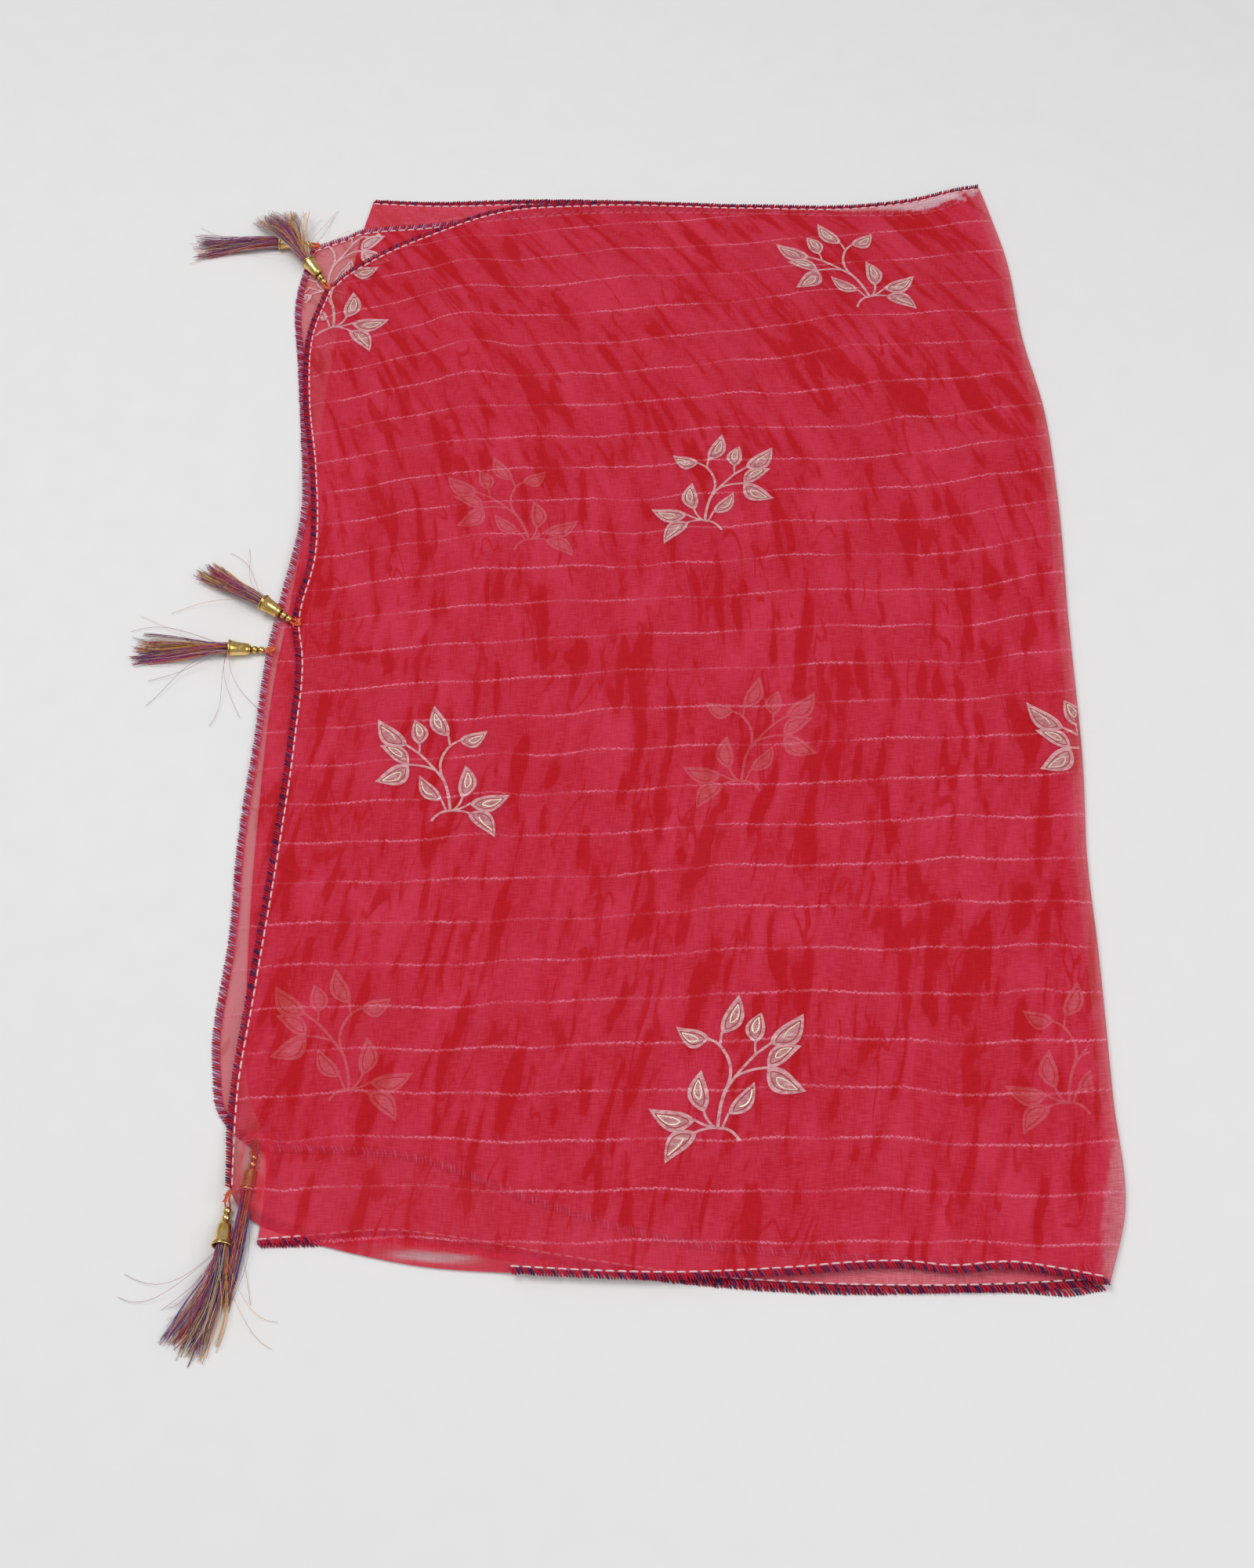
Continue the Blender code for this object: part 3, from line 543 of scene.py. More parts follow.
def add_attributes(obj, **values):
    """Stores a number for each vertex under each name. One number may stand for all."""
    for name, numbers in values.items():
        flat = np.empty(len(obj.data.vertices), np.float32)
        flat[:] = np.ravel(numbers)
        obj.data.attributes.new(name, "FLOAT", "POINT").data.foreach_set("value", flat)


def cell_corners(grid):
    """The values at the four corners of each cell of a grid, in turn."""
    return np.stack((grid[:-1, :-1], grid[:-1, 1:], grid[1:, 1:], grid[1:, :-1]), axis=-1)


def ring_walls(index):
    """The quads between rings of points that follow each other. The last axis goes round a ring."""
    ahead = np.roll(index, -1, axis=-1)
    corners = (index[..., :-1, :], index[..., 1:, :], ahead[..., 1:, :], ahead[..., :-1, :])
    return np.stack(corners, axis=-1).reshape(-1, 4).tolist()


def sheet_object(name, x, y, z, u, material):
    """A sheet from grids of places, with its maps across the stripes and along the streaks."""
    quads = cell_corners(np.arange(x.size).reshape(x.shape)).reshape(-1, 4)
    obj = make_object(name, np.stack((x, y, z), axis=-1), quads.tolist(), material)
    add_map(obj, "cloth", u, stripe_place(x, y))
    add_map(obj, "streaks", u - streak_shift(y), y)
    return obj


class Signal:
    """What a node gives, with sums and products that add Math nodes to its tree."""

    def __init__(self, socket):
        self.socket = socket
        self.tree = socket.id_data

    def math(self, operation, *others, clamp=False):
        """One Math node."""
        node = add_node(self.tree, "Math", self, *others)
        node.operation = operation
        node.use_clamp = clamp
        return Signal(node.outputs[0])

    def __add__(self, other):
        return self.math("ADD", other)

    def __sub__(self, other):
        return self.math("SUBTRACT", other)

    def __mul__(self, other):
        return self.math("MULTIPLY", other)

    def __truediv__(self, other):
        return self.math("DIVIDE", other)


def feed(socket, value):
    """Links a socket to a signal, or sets its value."""
    if isinstance(value, Signal):
        value.tree.links.new(value.socket, socket)
    elif isinstance(value, tuple):
        socket.default_value = (*value, 1.0) if len(socket.default_value) == 4 else value
    else:
        socket.default_value = value


def feed_named(node, values):
    """Feeds sockets by their names, with _ for each space."""
    for name, value in values.items():
        feed(node.inputs[name.replace("_", " ")], value)


def add_node(tree, kind, *values, **named):
    """A shader node with its first sockets fed in order, and others by name."""
    node = tree.nodes.new("ShaderNode" + kind)
    for socket, value in zip(node.inputs, values):
        feed(socket, value)
    feed_named(node, named)
    return node


def blend(factor, low, high):
    """Mixes two colours."""
    tree = (factor if isinstance(factor, Signal) else low).tree
    node = tree.nodes.new("ShaderNodeMix")
    node.data_type = "RGBA"
    for place, value in ((0, factor), (6, low), (7, high)):
        feed(node.inputs[place], value)
    return Signal(node.outputs[2])


def ease(value, low, high, start=0.0, end=1.0):
    """Goes smoothly from start to end as the value goes from low to high."""
    node = add_node(value.tree, "MapRange", value, low, high, start, end)
    node.interpolation_type = "SMOOTHSTEP"
    return Signal(node.outputs[0])


def place_map(tree, name):
    """The two places of a UV map."""
    node = add_node(tree, "UVMap")
    node.uv_map = name
    split = add_node(tree, "SeparateXYZ", Signal(node.outputs[0]))
    return Signal(split.outputs[0]), Signal(split.outputs[1])


def noise(first, second, first_size, second_size, detail=2.0, distortion=0.0, seed=0.0):
    """Noise with features of two sizes, in metres, along two places; values lie round 0.5."""
    join = add_node(first.tree, "CombineXYZ", first / first_size, second / second_size, seed)
    place = Signal(join.outputs[0])
    node = add_node(first.tree, "TexNoise", Vector=place, Scale=1.0, Detail=detail, Distortion=distortion)
    return Signal(node.outputs["Fac"])


def object_noise(tree, scale, detail=2.0):
    """Even noise over a piece, at the given scale in features a metre."""
    place = Signal(add_node(tree, "TexCoord").outputs["Object"])
    return Signal(add_node(tree, "TexNoise", Vector=place, Scale=scale, Detail=detail).outputs["Fac"])


def attribute(tree, name):
    """A number stored on the vertices."""
    node = add_node(tree, "Attribute")
    node.attribute_name = name
    return Signal(node.outputs["Fac"])


def relief(shader, height, distance, strength):
    """Bump of a given depth in metres."""
    node = add_node(height.tree, "Bump", Height=height, Distance=distance, Strength=strength)
    feed(shader.inputs["Normal"], Signal(node.outputs[0]))


def new_material(name, **constants):
    """A Principled material, its tree and its shader. Constants name sockets with _ for each space."""
    material = bpy.data.materials.new(name)
    material.use_nodes = True
    shader = material.node_tree.nodes["Principled BSDF"]
    feed_named(shader, constants)
    return material, material.node_tree, shader


def slub_stripes(u, v):
    """The thin pale slub stripes: 1 on a stripe, broken up along it."""
    pitch = STRIPE_PITCH * MM
    wiggle = (noise(u, v, 0.0013, 0.02) - 0.5) * 0.0022
    offset = ((v + wiggle) / pitch + 0.5).math("FRACT") - 0.5
    core = ease(offset.math("ABSOLUTE") * pitch, 0.00015, 0.00080, 1.0, 0.0)
    dashes = ease(noise(u, v, 0.0011, 0.0008, 2.0, seed=3.0), 0.38, 0.58, 0.15, 1.0)
    fading = ease(noise(u, v, 0.030, 0.013, 1.0, seed=5.0), 0.36, 0.60, 0.30, 1.0)
    return core * (dashes * fading)


def cloth_colour(red, weave, cloud, soft, contact):
    """Painted scattered light makes a pale haze where the cloth floats; deep red where it touches the layer
    below, with threads that show.
    """
    painted_haze = blend(cloud, red["painted_haze"], red["pale_painted_haze"])
    # The painted haze fades where the cloth comes close to the layer below.
    painted_haze = blend(soft * 0.75, painted_haze, red["sunk"])
    painted_haze = blend(ease(weave, 0.44, 0.62, 0.0, 0.45), painted_haze, red["pale_thread"])
    painted_haze = blend(ease(weave, 0.48, 0.34, 0.0, 0.45), painted_haze, red["dark_thread"])
    deep = blend(ease(weave, 0.35, 0.65), red["deep"], red["pale_deep"])
    return blend(contact, painted_haze, deep)


def cloth_material(name, opacity, stripe_share, shade=0.0):
    """Sheer crinkled cloth, with its own opacity, strength of the stripes, and shade under other layers."""
    material, tree, shader = new_material(
        name, Roughness=0.72, Specular_IOR_Level=0.18, Sheen_Weight=0.12, Sheen_Roughness=0.5,
        Sheen_Tint=(1.0, 0.62, 0.68),
    )
    red = CLOTH_COLOURS
    u, v = place_map(tree, "cloth")
    across, along = place_map(tree, "streaks")
    touch, hem, pale, sheer = (attribute(tree, each) for each in ("touch", "hem", "pale", "sheer"))
    streaks, broad, frayed, wander, patches, pucker = (noise(across, along, *row) for row in STREAK_NOISES)
    clouds, weft, warp, crepe = (noise(u, v, *row) for row in WEAVE_NOISES)
    # The cloth touches the next layer where the sum of these is high.
    field = touch * 0.155 + streaks + broad * 0.50 + frayed * 0.030
    # Narrow lines run where the wandering noise crosses its middle.
    narrow = ease((wander - 0.5).math("ABSOLUTE"), 0.012, 0.038, 1.0, 0.0)
    lines = narrow * ease(touch * 0.20 + patches, 0.51, 0.61)
    contact = ease(field, 0.874, 0.912).math("MAXIMUM", lines * 0.8)
    soft = ease(field, 0.66, 0.880).math("MAXIMUM", lines)
    weave = weft * 0.62 + warp * 0.38
    colour = cloth_colour(red, weave, ease(clouds, 0.30, 0.70), soft, contact)
    stripes = slub_stripes(u, v) * (contact * -0.5 + 1.0) * stripe_share
    colour = blend(stripes * 0.85, colour, red["stripe"])
    colour = blend(hem * 0.5, colour, red["hem"])
    colour = blend(pale, colour, blend(ease(weave, 0.36, 0.62), red["single"], red["pale_single"]))
    colour = blend(shade, colour, red["shade"])
    alpha = stripes * 0.25 + contact * 0.06 + weave * 0.20 + hem * 0.22 + (opacity - 0.10)
    alpha = alpha.math("SUBTRACT", sheer, clamp=True)
    feed_named(shader, {"Base_Color": colour, "Alpha": alpha})
    relief(shader, crepe * 0.12 + pucker * 1.6 + stripes, 0.00020, 0.6)
    return material


def print_material(name, low, high, strength):
    """Printed leaf colour, mottled, and paler where a slub stripe crosses it."""
    material, tree, shader = new_material(name, Roughness=0.62, Specular_IOR_Level=0.25)
    u, v = place_map(tree, "cloth")
    mottle = ease(noise(u, v, 0.0035, 0.0020, 3.0, 0.3), 0.32, 0.66)
    weft = noise(u, v, 0.0040, 0.00045, 2.0, 0.0, 6.0)
    stripes = slub_stripes(u, v)
    colour = blend(ease(weft, 0.50, 0.32, 0.0, 0.45), blend(mottle, low, high), (0.430, 0.090, 0.110))
    colour = blend(stripes * 0.9, colour, (0.820, 0.620, 0.600))
    alpha = ease(mottle * 0.3 + weft, 0.30, 0.60, strength - 0.22, strength)
    alpha = (stripes * 0.2).math("ADD", alpha, clamp=True)
    feed_named(shader, {"Base_Color": colour, "Alpha": alpha})
    relief(shader, weft, 0.0001, 0.4)
    return material


def foil_material():
    """Flecked cream foil on the leaf veins."""
    material, tree, shader = new_material("foil", Metallic=0.35, Roughness=0.38)
    flecks = object_noise(tree, 2600.0)
    colour = blend(ease(flecks, 0.36, 0.60), (0.620, 0.440, 0.270), (0.960, 0.880, 0.720))
    feed_named(shader, {"Base_Color": colour, "Alpha": ease(flecks, 0.30, 0.38)})
    relief(shader, flecks, 0.0001, 0.6)
    return material


def thread_material(name, dyes, roughness, gloss):
    """Fine twisted thread whose colour runs through a table of dyes, with painted shade between its twists.
    """
    material, tree, shader = new_material(name, Roughness=roughness, Specular_IOR_Level=gloss)
    ramp = add_node(tree, "ValToRGB", attribute(tree, "dye"))
    stops = ramp.color_ramp.elements
    while len(stops) < len(dyes):
        stops.new(0.5)
    for stop, (place, red, green, blue) in zip(stops, dyes):
        stop.position = place
        stop.color = (red, green, blue, 1.0)
    twist = object_noise(tree, 2200.0)
    # Painted shade darkens the thread in spots, where its twisted plies would shade each other.
    twist_shade = ease(twist, 0.46, 0.32, 0.0, 0.30)
    feed(shader.inputs["Base Color"], blend(twist_shade, Signal(ramp.outputs[0]), (0.030, 0.010, 0.020)))
    relief(shader, twist, 0.00012, 0.5)
    return material


def plain_thread_material(name, low, high, roughness):
    """Twisted sewing thread of one colour, with its ply."""
    material, tree, shader = new_material(name, Roughness=roughness, Specular_IOR_Level=0.4, Sheen_Weight=0.2)
    ply = object_noise(tree, 1800.0)
    feed(shader.inputs["Base Color"], blend(ease(ply, 0.35, 0.62), low, high))
    relief(shader, ply, 0.00012, 0.6)
    return material


def gold_material():
    """Polished gold plate, faintly scuffed, with painted shade in its grooves."""
    material, tree, shader = new_material("gold_plate", Metallic=1.0)
    scuffs = object_noise(tree, 900.0, 4.0)
    tone = ease(object_noise(tree, 160.0), 0.35, 0.65)
    colour = blend(tone, (0.700, 0.440, 0.120), (0.880, 0.640, 0.260))
    # Painted shade: the grooves between the balls, and just above the lip, are darkened towards dark brown.
    colour = blend(attribute(tree, "groove") * 0.9, colour, (0.130, 0.055, 0.015))
    feed_named(shader, {"Base_Color": colour, "Roughness": ease(scuffs, 0.35, 0.70, 0.14, 0.30)})
    relief(shader, scuffs, 0.00004, 0.4)
    return material


def tube_object(name, paths, radii, sides, material, dyes=None, reference=None):
    """Many closed tubes as one mesh. Paths hold tube, point and place; radii and dyes hold tube and point."""
    count, points = paths.shape[:2]
    tangent = np.gradient(paths, axis=1)
    tangent /= np.linalg.norm(tangent, axis=2, keepdims=True) + TINY
    up = np.broadcast_to(np.array((0.0, 0.0, 1.0)), (count, 3)) if reference is None else reference
    across = np.cross(tangent, up[:, None, :])
    across /= np.linalg.norm(across, axis=2, keepdims=True) + TINY
    normal = np.cross(across, tangent)
    angles = 2.0 * np.pi * np.arange(sides)[:, None] / sides
    ring = np.cos(angles) * across[:, :, None, :] + np.sin(angles) * normal[:, :, None, :]
    spots = paths[:, :, None, :] + np.broadcast_to(radii, (count, points))[:, :, None, None] * ring
    index = np.arange(count * points * sides).reshape(count, points, sides)
    faces = ring_walls(index) + index[:, 0].tolist() + index[:, -1, ::-1].tolist()
    obj = make_object(name, spots, faces, material)
    if dyes is not None:
        add_attributes(obj, dye=np.repeat(np.broadcast_to(dyes, (count, points)), sides))
    return obj


def pale_sliver(x, y):
    """The bare place of the upper right corner, and the small one beside it: 1 where a layer lies alone."""
    middle = np.interp(x, SLIVER[:, 0], SLIVER[:, 1])
    half = np.interp(x, SLIVER[:, 0], SLIVER[:, 2])
    long_one = smoothstep((half - np.abs(y - middle)) / 1.2 + 0.5) * (half > 0.0)
    near = np.abs(x - CORNER_PATCH[0]) + np.abs(y - CORNER_PATCH[1])
    return np.maximum(long_one, smoothstep((CORNER_PATCH[2] - near) / 1.5))


def hem_share(x, y, outline, sides, width):
    """1 within the hems along some edges of an outline, and 0 elsewhere."""
    return smoothstep((width - edge_distance(x, y, outline, sides)) / HEM_SOFTNESS)


def bare_share(x, y, place):
    """1 in the middle of a bare place, and 0 outside it."""
    mid_x, mid_y, half_width, half_height = place
    return bump((x - mid_x) / half_width) * bump((y - mid_y) / half_height)


def top_looks(x, y, outer_edge):
    """How the top layer looks from place to place: pale, hemmed, sheer, or touching the next layer."""
    hem = hem_share(x, y, TOP_LAYER, ("left", "top", "bottom"), TOP_HEM)
    # Left of the middle the lower edge is turned under, where it reaches past the lowest layer.
    beyond = edge_y(LOWEST_OUTLINE["bottom"], x) + 1.0 - y
    under = smoothstep(beyond / 1.5) * smoothstep((-40.0 - x) / 15.0) * smoothstep((x + 184.0) / 4.0)
    # Beside the hidden cap the cloth lies double, from its bare tip to the inner layers' edge.
    doubled = smoothstep((x + 179.5) / 2.5) * smoothstep((-164.0 - x) / 4.0) * smoothstep((-256.0 - y) / 7.0)
    bare = bare_share(x, y - BARE_EDGE_SLOPE * (x - BARE_EDGE[0]), BARE_EDGE)
    tip = bare_share(x, y, BARE_TIP)
    over_cap = smoothstep(1.0 - (hidden_cap_distance(x, y) - 2.0) / 4.0)
    band = smoothstep((x - outer_edge + 8.0) / 9.0)
    # Near its lower end the outer fold reaches past the layers below, and shows paler.
    reach = 8.0 * bump((y + 290.0) / 42.0)
    alone = smoothstep((x - outer_edge + reach) / 1.4) * smoothstep(reach / 2.5)
    pale = np.maximum(0.50 * smoothstep(1.6 * bare), pale_sliver(x, y))
    turned_under = np.maximum(under, doubled)
    see_through = 0.26 * np.clip(1.6 * bare + tip + 0.1 * band, 0.0, 1.0)
    return {
        "pale": np.maximum(pale, np.maximum(0.10 * band, 0.34 * alone)),
        "hem": np.maximum(hem, turned_under) * (1.0 - 0.8 * np.maximum(bare, np.maximum(tip, over_cap))),
        "sheer": np.maximum(see_through, 0.40 * over_cap),
        "touch": crease_depth(x, y)[1] * (1.0 - band) * (1.0 - alone),
    }


def build_top_sheet(material):
    """The top quarter, with the outer fold that carries it round to the underside."""
    u, v = np.meshgrid(np.linspace(0.0, 1.0, 236), np.linspace(0.0, 1.0, 390))
    x, y = patch(TOP_LAYER, u, v)
    z = top_height(x, y)
    # The lower left hem rolls down to the table, where it has no stitching.
    rolled = smoothstep((0.42 - u) / 0.10) * smoothstep((6.0 - v * 600.0) / 6.0)
    z = z - rolled * (z - LOWEST_MIDDLE) * 0.8
    turn = np.linspace(0.0, np.pi, 10)[1:]
    edge, edge_z = x[:, -1:], z[:, -1:]
    fold_x = edge + FOLD_RADIUS * np.sin(turn)
    fold_z = edge_z - 0.5 * (edge_z - LOWEST_LAYER) * (1.0 - np.cos(turn))
    slide = np.array((1.5, FOLD_RETURN))
    return_x = edge - slide
    all_x = np.hstack((x, fold_x, return_x))
    all_y = np.hstack((y, np.repeat(y[:, -1:], len(turn) + len(slide), axis=1)))
    all_z = np.hstack((z, fold_z, np.full(return_x.shape, LOWEST_LAYER)))
    all_u = np.hstack((x, edge + 2.5 * turn, edge + 2.5 * math.pi + slide))
    obj = sheet_object("top_sheet", all_x, all_y, all_z, all_u, material)
    add_attributes(obj, **top_looks(all_x, all_y, edge))
    return obj


def build_second_sheet(material):
    """The quarter under the top one, with the inner fold at its right edge."""
    columns = np.concatenate((np.linspace(0.0, 0.12, 30)[:-1], np.linspace(0.12, 1.0, 70)))
    u, v = np.meshgrid(columns, np.linspace(0.0, 1.0, 180))
    x, y = patch(SECOND_LAYER, u, v)
    z = second_height(x, y)
    turn = np.linspace(0.0, np.pi, 7)[1:]
    radius = 0.5 * (z[:, -1:] - THIRD_LAYER)
    x = np.hstack((x, x[:, -1:] + radius * np.sin(turn)))
    y = np.hstack((y, np.repeat(y[:, -1:], len(turn), axis=1)))
    z = np.hstack((z, z[:, -1:] - radius * (1.0 - np.cos(turn))))
    obj = sheet_object("second_sheet", x, y, z, x, material)
    hem = 0.4 * hem_share(x, y, SECOND_LAYER, ("left", "top", "bottom"), SECOND_HEM)
    past_fold = smoothstep((edge_x(INNER_LEFT, y) - x + 3.0) / 4.0)
    add_attributes(obj, hem=hem, pale=0.0, sheer=0.12 * past_fold, touch=0.0)
    return obj


def build_inner_sheet(material):
    """The two hidden quarters, one on the table and one on it, with the left fold between them."""
    u, v = np.meshgrid(np.linspace(1.0, 0.0, 60), np.linspace(0.0, 1.0, 120))
    low_x, low_y = patch(LOWEST_OUTLINE, u, v)
    high_x, high_y = patch(THIRD_OUTLINE, u[:, ::-1], v)
    turn = np.linspace(0.0, np.pi, 8)[1:-1]
    radius = 0.5 * (THIRD_LAYER - LOWEST_LAYER)
    share = turn / np.pi
    fold_x = low_x[:, -1:] - radius * np.sin(turn)
    fold_y = low_y[:, -1:] * (1.0 - share) + high_y[:, :1] * share
    fold_z = LOWEST_LAYER + radius * (1.0 - np.cos(turn)) + np.zeros_like(fold_x)
    x = np.hstack((low_x, fold_x, high_x))
    y = np.hstack((low_y, fold_y, high_y))
    z = np.hstack((np.full(low_x.shape, LOWEST_LAYER), fold_z, np.full(high_x.shape, THIRD_LAYER)))
    obj = sheet_object("inner_sheet", x, y, z, x, material)
    hem = hem_share(x, y, LOWEST_OUTLINE, ("top", "bottom"), INNER_HEM)
    pale = 0.08 + 0.30 * bump((x - 95.0) / 90.0) * smoothstep((-300.0 - y) / 8.0)
    add_attributes(obj, hem=hem, pale=pale, sheer=0.0, touch=0.0)
    return obj


def flat_height(level):
    """A height function for a layer that lies at one level."""
    return lambda x, y: np.full(np.shape(x), level)


# The layers that carry prints, with their heights.
LAYERS = {"top": (TOP_LAYER, top_height), "second": (SECOND_LAYER, second_height)}

# Hems of each sheet. Columns: outline, side, start and end shares, height of the layer, topstitched.
HEMS = {
    "top": (
        (TOP_LAYER, "left", 0.0, 1.0, top_height, True),
        (TOP_LAYER, "top", 0.0, 1.0, top_height, True),
        (TOP_LAYER, "bottom", 0.345, 1.0, top_height, True),
    ),
    "second": (
        (SECOND_LAYER, "left", 0.0, 1.0, second_height, False),
        (SECOND_LAYER, "top", 0.0, 1.0, second_height, True),
        (SECOND_LAYER, "bottom", 0.0, 1.0, second_height, False),
    ),
    "inner": (
        (LOWEST_OUTLINE, "top", 0.0, 1.0, flat_height(LOWEST_LAYER), False),
        (LOWEST_OUTLINE, "bottom", 0.0, 1.0, flat_height(LOWEST_LAYER), False),
        (THIRD_OUTLINE, "top", 0.0, 1.0, flat_height(THIRD_LAYER), True),
        (THIRD_OUTLINE, "bottom", 0.0, 1.0, flat_height(THIRD_LAYER), True),
    ),
}
WRAP_PITCH = {"top": 1.2, "second": 1.3, "inner": 1.25}
WRAP_SPREAD = {"top": 1.0, "second": 1.3, "inner": 1.0}
# Stretch of the colours that each sheet's overlock thread runs through.
DYE_RUN = {"top": (0.0, 0.82), "second": (0.75, 1.0), "inner": (0.0, 0.82)}
WRAP_RADIUS = 0.40
STITCH_PITCH = 4.8
STITCH_LENGTH = 3.35
STITCH_INSET = 1.95
STITCH_RADIUS = 0.42
# One wrap of the overlock thread round the edge. Columns: step along, step inward, step up.
WRAP = (
    (-0.3, 1.3, 0.2), (0.3, 0.7, 0.42), (0.9, -0.3, 0.42), (1.3, -1.2, 0.1), (1.2, -0.7, -0.3),
    (0.6, 0.6, -0.35),
)
# One stitch: share of its length and step up.
STITCH = ((0.0, -0.12), (0.18, 0.2), (0.5, 0.27), (0.82, 0.2), (1.0, -0.12))


def hem_frames(outline, side, shares):
    """Points of a hem with the directions along it and inward."""
    at = smooth_path(outline[side])[0]
    spot = at(shares)
    ahead = at(np.minimum(shares + 0.002, 1.0)) - at(np.maximum(shares - 0.002, 0.0))
    ahead /= np.linalg.norm(ahead, axis=1, keepdims=True)
    inward = np.stack((-ahead[:, 1], ahead[:, 0]), axis=1)
    if side in ("left", "top"):
        inward = -inward
    return spot, ahead, inward


def build_hems(layer, overlock, topstitch):
    """The overlock wraps and the topstitches of one layer's hems."""
    wraps = []
    ways = []
    stitches = []
    for outline, side, start, end, height, stitched in HEMS[layer]:
        length = smooth_path(outline[side])[1] * (end - start)
        shares = np.linspace(start, end, int(length / WRAP_PITCH[layer]))
        spot, ahead, inward = hem_frames(outline, side, shares)
        jitter = RAGGED.normal(0.0, 0.12, (len(shares), 1))
        path = []
        for along, inner, up in WRAP:
            place = spot + ahead * (along + jitter) + inward * (WRAP_SPREAD[layer] * inner + jitter)
            path.append(np.column_stack((place, np.maximum(height(*spot.T) + up, WRAP_RADIUS))))
        wraps.append(np.stack(path, axis=1))
        ways.append(np.column_stack((ahead, np.zeros(len(shares)))))
        if stitched:
            count = int(length / STITCH_PITCH)
            path = []
            for share, up in STITCH:
                along = (np.arange(count) + share * STITCH_LENGTH / STITCH_PITCH) / count
                spot, _, inward = hem_frames(outline, side, start + along * (end - start))
                place = spot + inward * STITCH_INSET
                path.append(np.column_stack((place, height(*place.T) + up)))
            stitches.append(np.stack(path, axis=1))
    wraps = np.concatenate(wraps)
    # Each uneven repeat of the space-dyed thread is mostly crimson on the top and inner hems, and the rest
    # navy or purple. The second layer's repeats are mauve and pink.
    turn = np.cumsum(RAGGED.uniform(0.3, 1.7, len(wraps))) * WRAP_PITCH[layer] / STITCH_PITCH
    first, last = DYE_RUN[layer]
    dyes = (first + (last - first) * (turn % 1.0))[:, None]
    thread = tube_object(layer + "_overlock", wraps, WRAP_RADIUS, 4, overlock, dyes, np.concatenate(ways))
    seam = tube_object(layer + "_topstitch", np.concatenate(stitches), STITCH_RADIUS, 5, topstitch)
    return [finish_piece(thread, "tassel_thread"), finish_piece(seam, "sheer_cloth")]


def leaf_strip(leaf, start, end, share, columns, offsets=0.0):
    """A leaf, or a line round a smaller leaf form inside it, as rows of points from base to tip.

    Columns hold shares of the form's half width, and offsets millimetres aside from those.
    """
    base_x, base_y, heading, length, width, bow = leaf
    within = np.linspace(0.0, 1.0, LEAF_ROWS)
    rows = start + (end - start) * within
    half = 0.5 * width * share * np.sin(np.pi * within ** 0.82) ** 0.95
    along = rows[:, None] * length + np.zeros(len(columns))
    aside = half[:, None] * np.array(columns) + np.array(offsets)
    aside = aside + bow * (np.sin(np.pi * rows) - 1.2 * rows ** 3)[:, None]
    x, y = turned(along, aside, heading)
    return base_x + x, base_y + y


def stem_strip(row):
    """A stem as rows of points along a bent line, three across."""
    start, bend, end = np.reshape(row[:6], (3, 2))
    t = np.linspace(0.0, 1.0, STEM_ROWS)[:, None]
    line = (1 - t) ** 2 * start + 2 * t * (1 - t) * bend + t * t * end
    slope = np.gradient(line, axis=0)
    slope /= np.linalg.norm(slope, axis=1, keepdims=True)
    columns = np.array((0.5, 0.0, -0.5)) * row[6]
    return line[:, :1] - slope[:, 1:] * columns, line[:, 1:] + slope[:, :1] * columns


def on_layer(layer, x, y):
    """Whether places lie on a layer, inside its stitching, so that a print there would show."""
    outline = LAYERS[layer][0]
    right_inset = -0.6 if layer == "top" else 1.0
    inside_x = (x > edge_x(outline["left"], y) + HEM_INSET) & (x < edge_x(outline["right"], y) - right_inset)
    inside_y = (y > edge_y(outline["bottom"], x) + HEM_INSET) & (y < edge_y(outline["top"], x) - HEM_INSET)
    return inside_x & inside_y


def sprig_strips(kind):
    """The strips of one colour of a sprig, round its junction."""
    if kind == "fill":
        stems = [stem_strip(row) for row in STEMS]
        return stems + [leaf_strip(leaf, 0.0, 1.0, 1.0, (1.0, 0.5, 0.0, -0.5, -1.0)) for leaf in LEAVES]
    strips = []
    for number, leaf in enumerate(LEAVES):
        end = 0.88 - 0.03 * (number % 3)
        if kind == "eye":
            strips.append(leaf_strip(leaf, 0.12, end, 0.58, (1.0, 0.0, -1.0)))
            continue
        for line in (1.0, -1.0):
            if kind == "vein":
                strips.append(leaf_strip(leaf, 0.12, end, 0.58, (line, line), (0.28, -0.28)))
            elif (2 * number + (line > 0.0)) % 7:
                strips.append(leaf_strip(leaf, 0.30, end - 0.05, 0.34, (line, line), (0.33, -0.33)))
    return strips


def build_sprigs(name, layer, kind, material, lift):
    """One colour of all the sprigs on a layer, as a joined mesh that follows the cloth."""
    points = []
    faces = []
    for place, junction_x, junction_y, turn, mirrored, size in SPRIGS:
        if place != layer:
            continue
        for number, (x, y) in enumerate(sprig_strips(kind)):
            side = -1.0 if mirrored else 1.0
            spot_x, spot_y = turned(side * size * x, size * y, turn)
            spot_x += junction_x
            spot_y += junction_y
            index = np.arange(x.size).reshape(x.shape) + sum(len(each) for each in points)
            kept = on_layer(layer, cell_corners(spot_x).mean(axis=-1), cell_corners(spot_y).mean(axis=-1))
            quads = cell_corners(index)[kept]
            faces += (quads if mirrored else quads[:, ::-1]).tolist()
            tall = np.full(x.size, lift + STRIP_STEP * number)
            points.append(np.column_stack((spot_x.ravel(), spot_y.ravel(), tall)))
    # Points that no kept face uses are left out.
    used, faces = np.unique(np.array(faces), return_inverse=True)
    x, y, lifts = np.concatenate(points)[used].T
    z = LAYERS[layer][1](x, y) + lifts
    obj = make_object(name, np.column_stack((x, y, z)), faces.reshape(-1, 4).tolist(), material)
    add_map(obj, "cloth", x, stripe_place(x, y))
    return finish_piece(obj, "sheer_cloth")


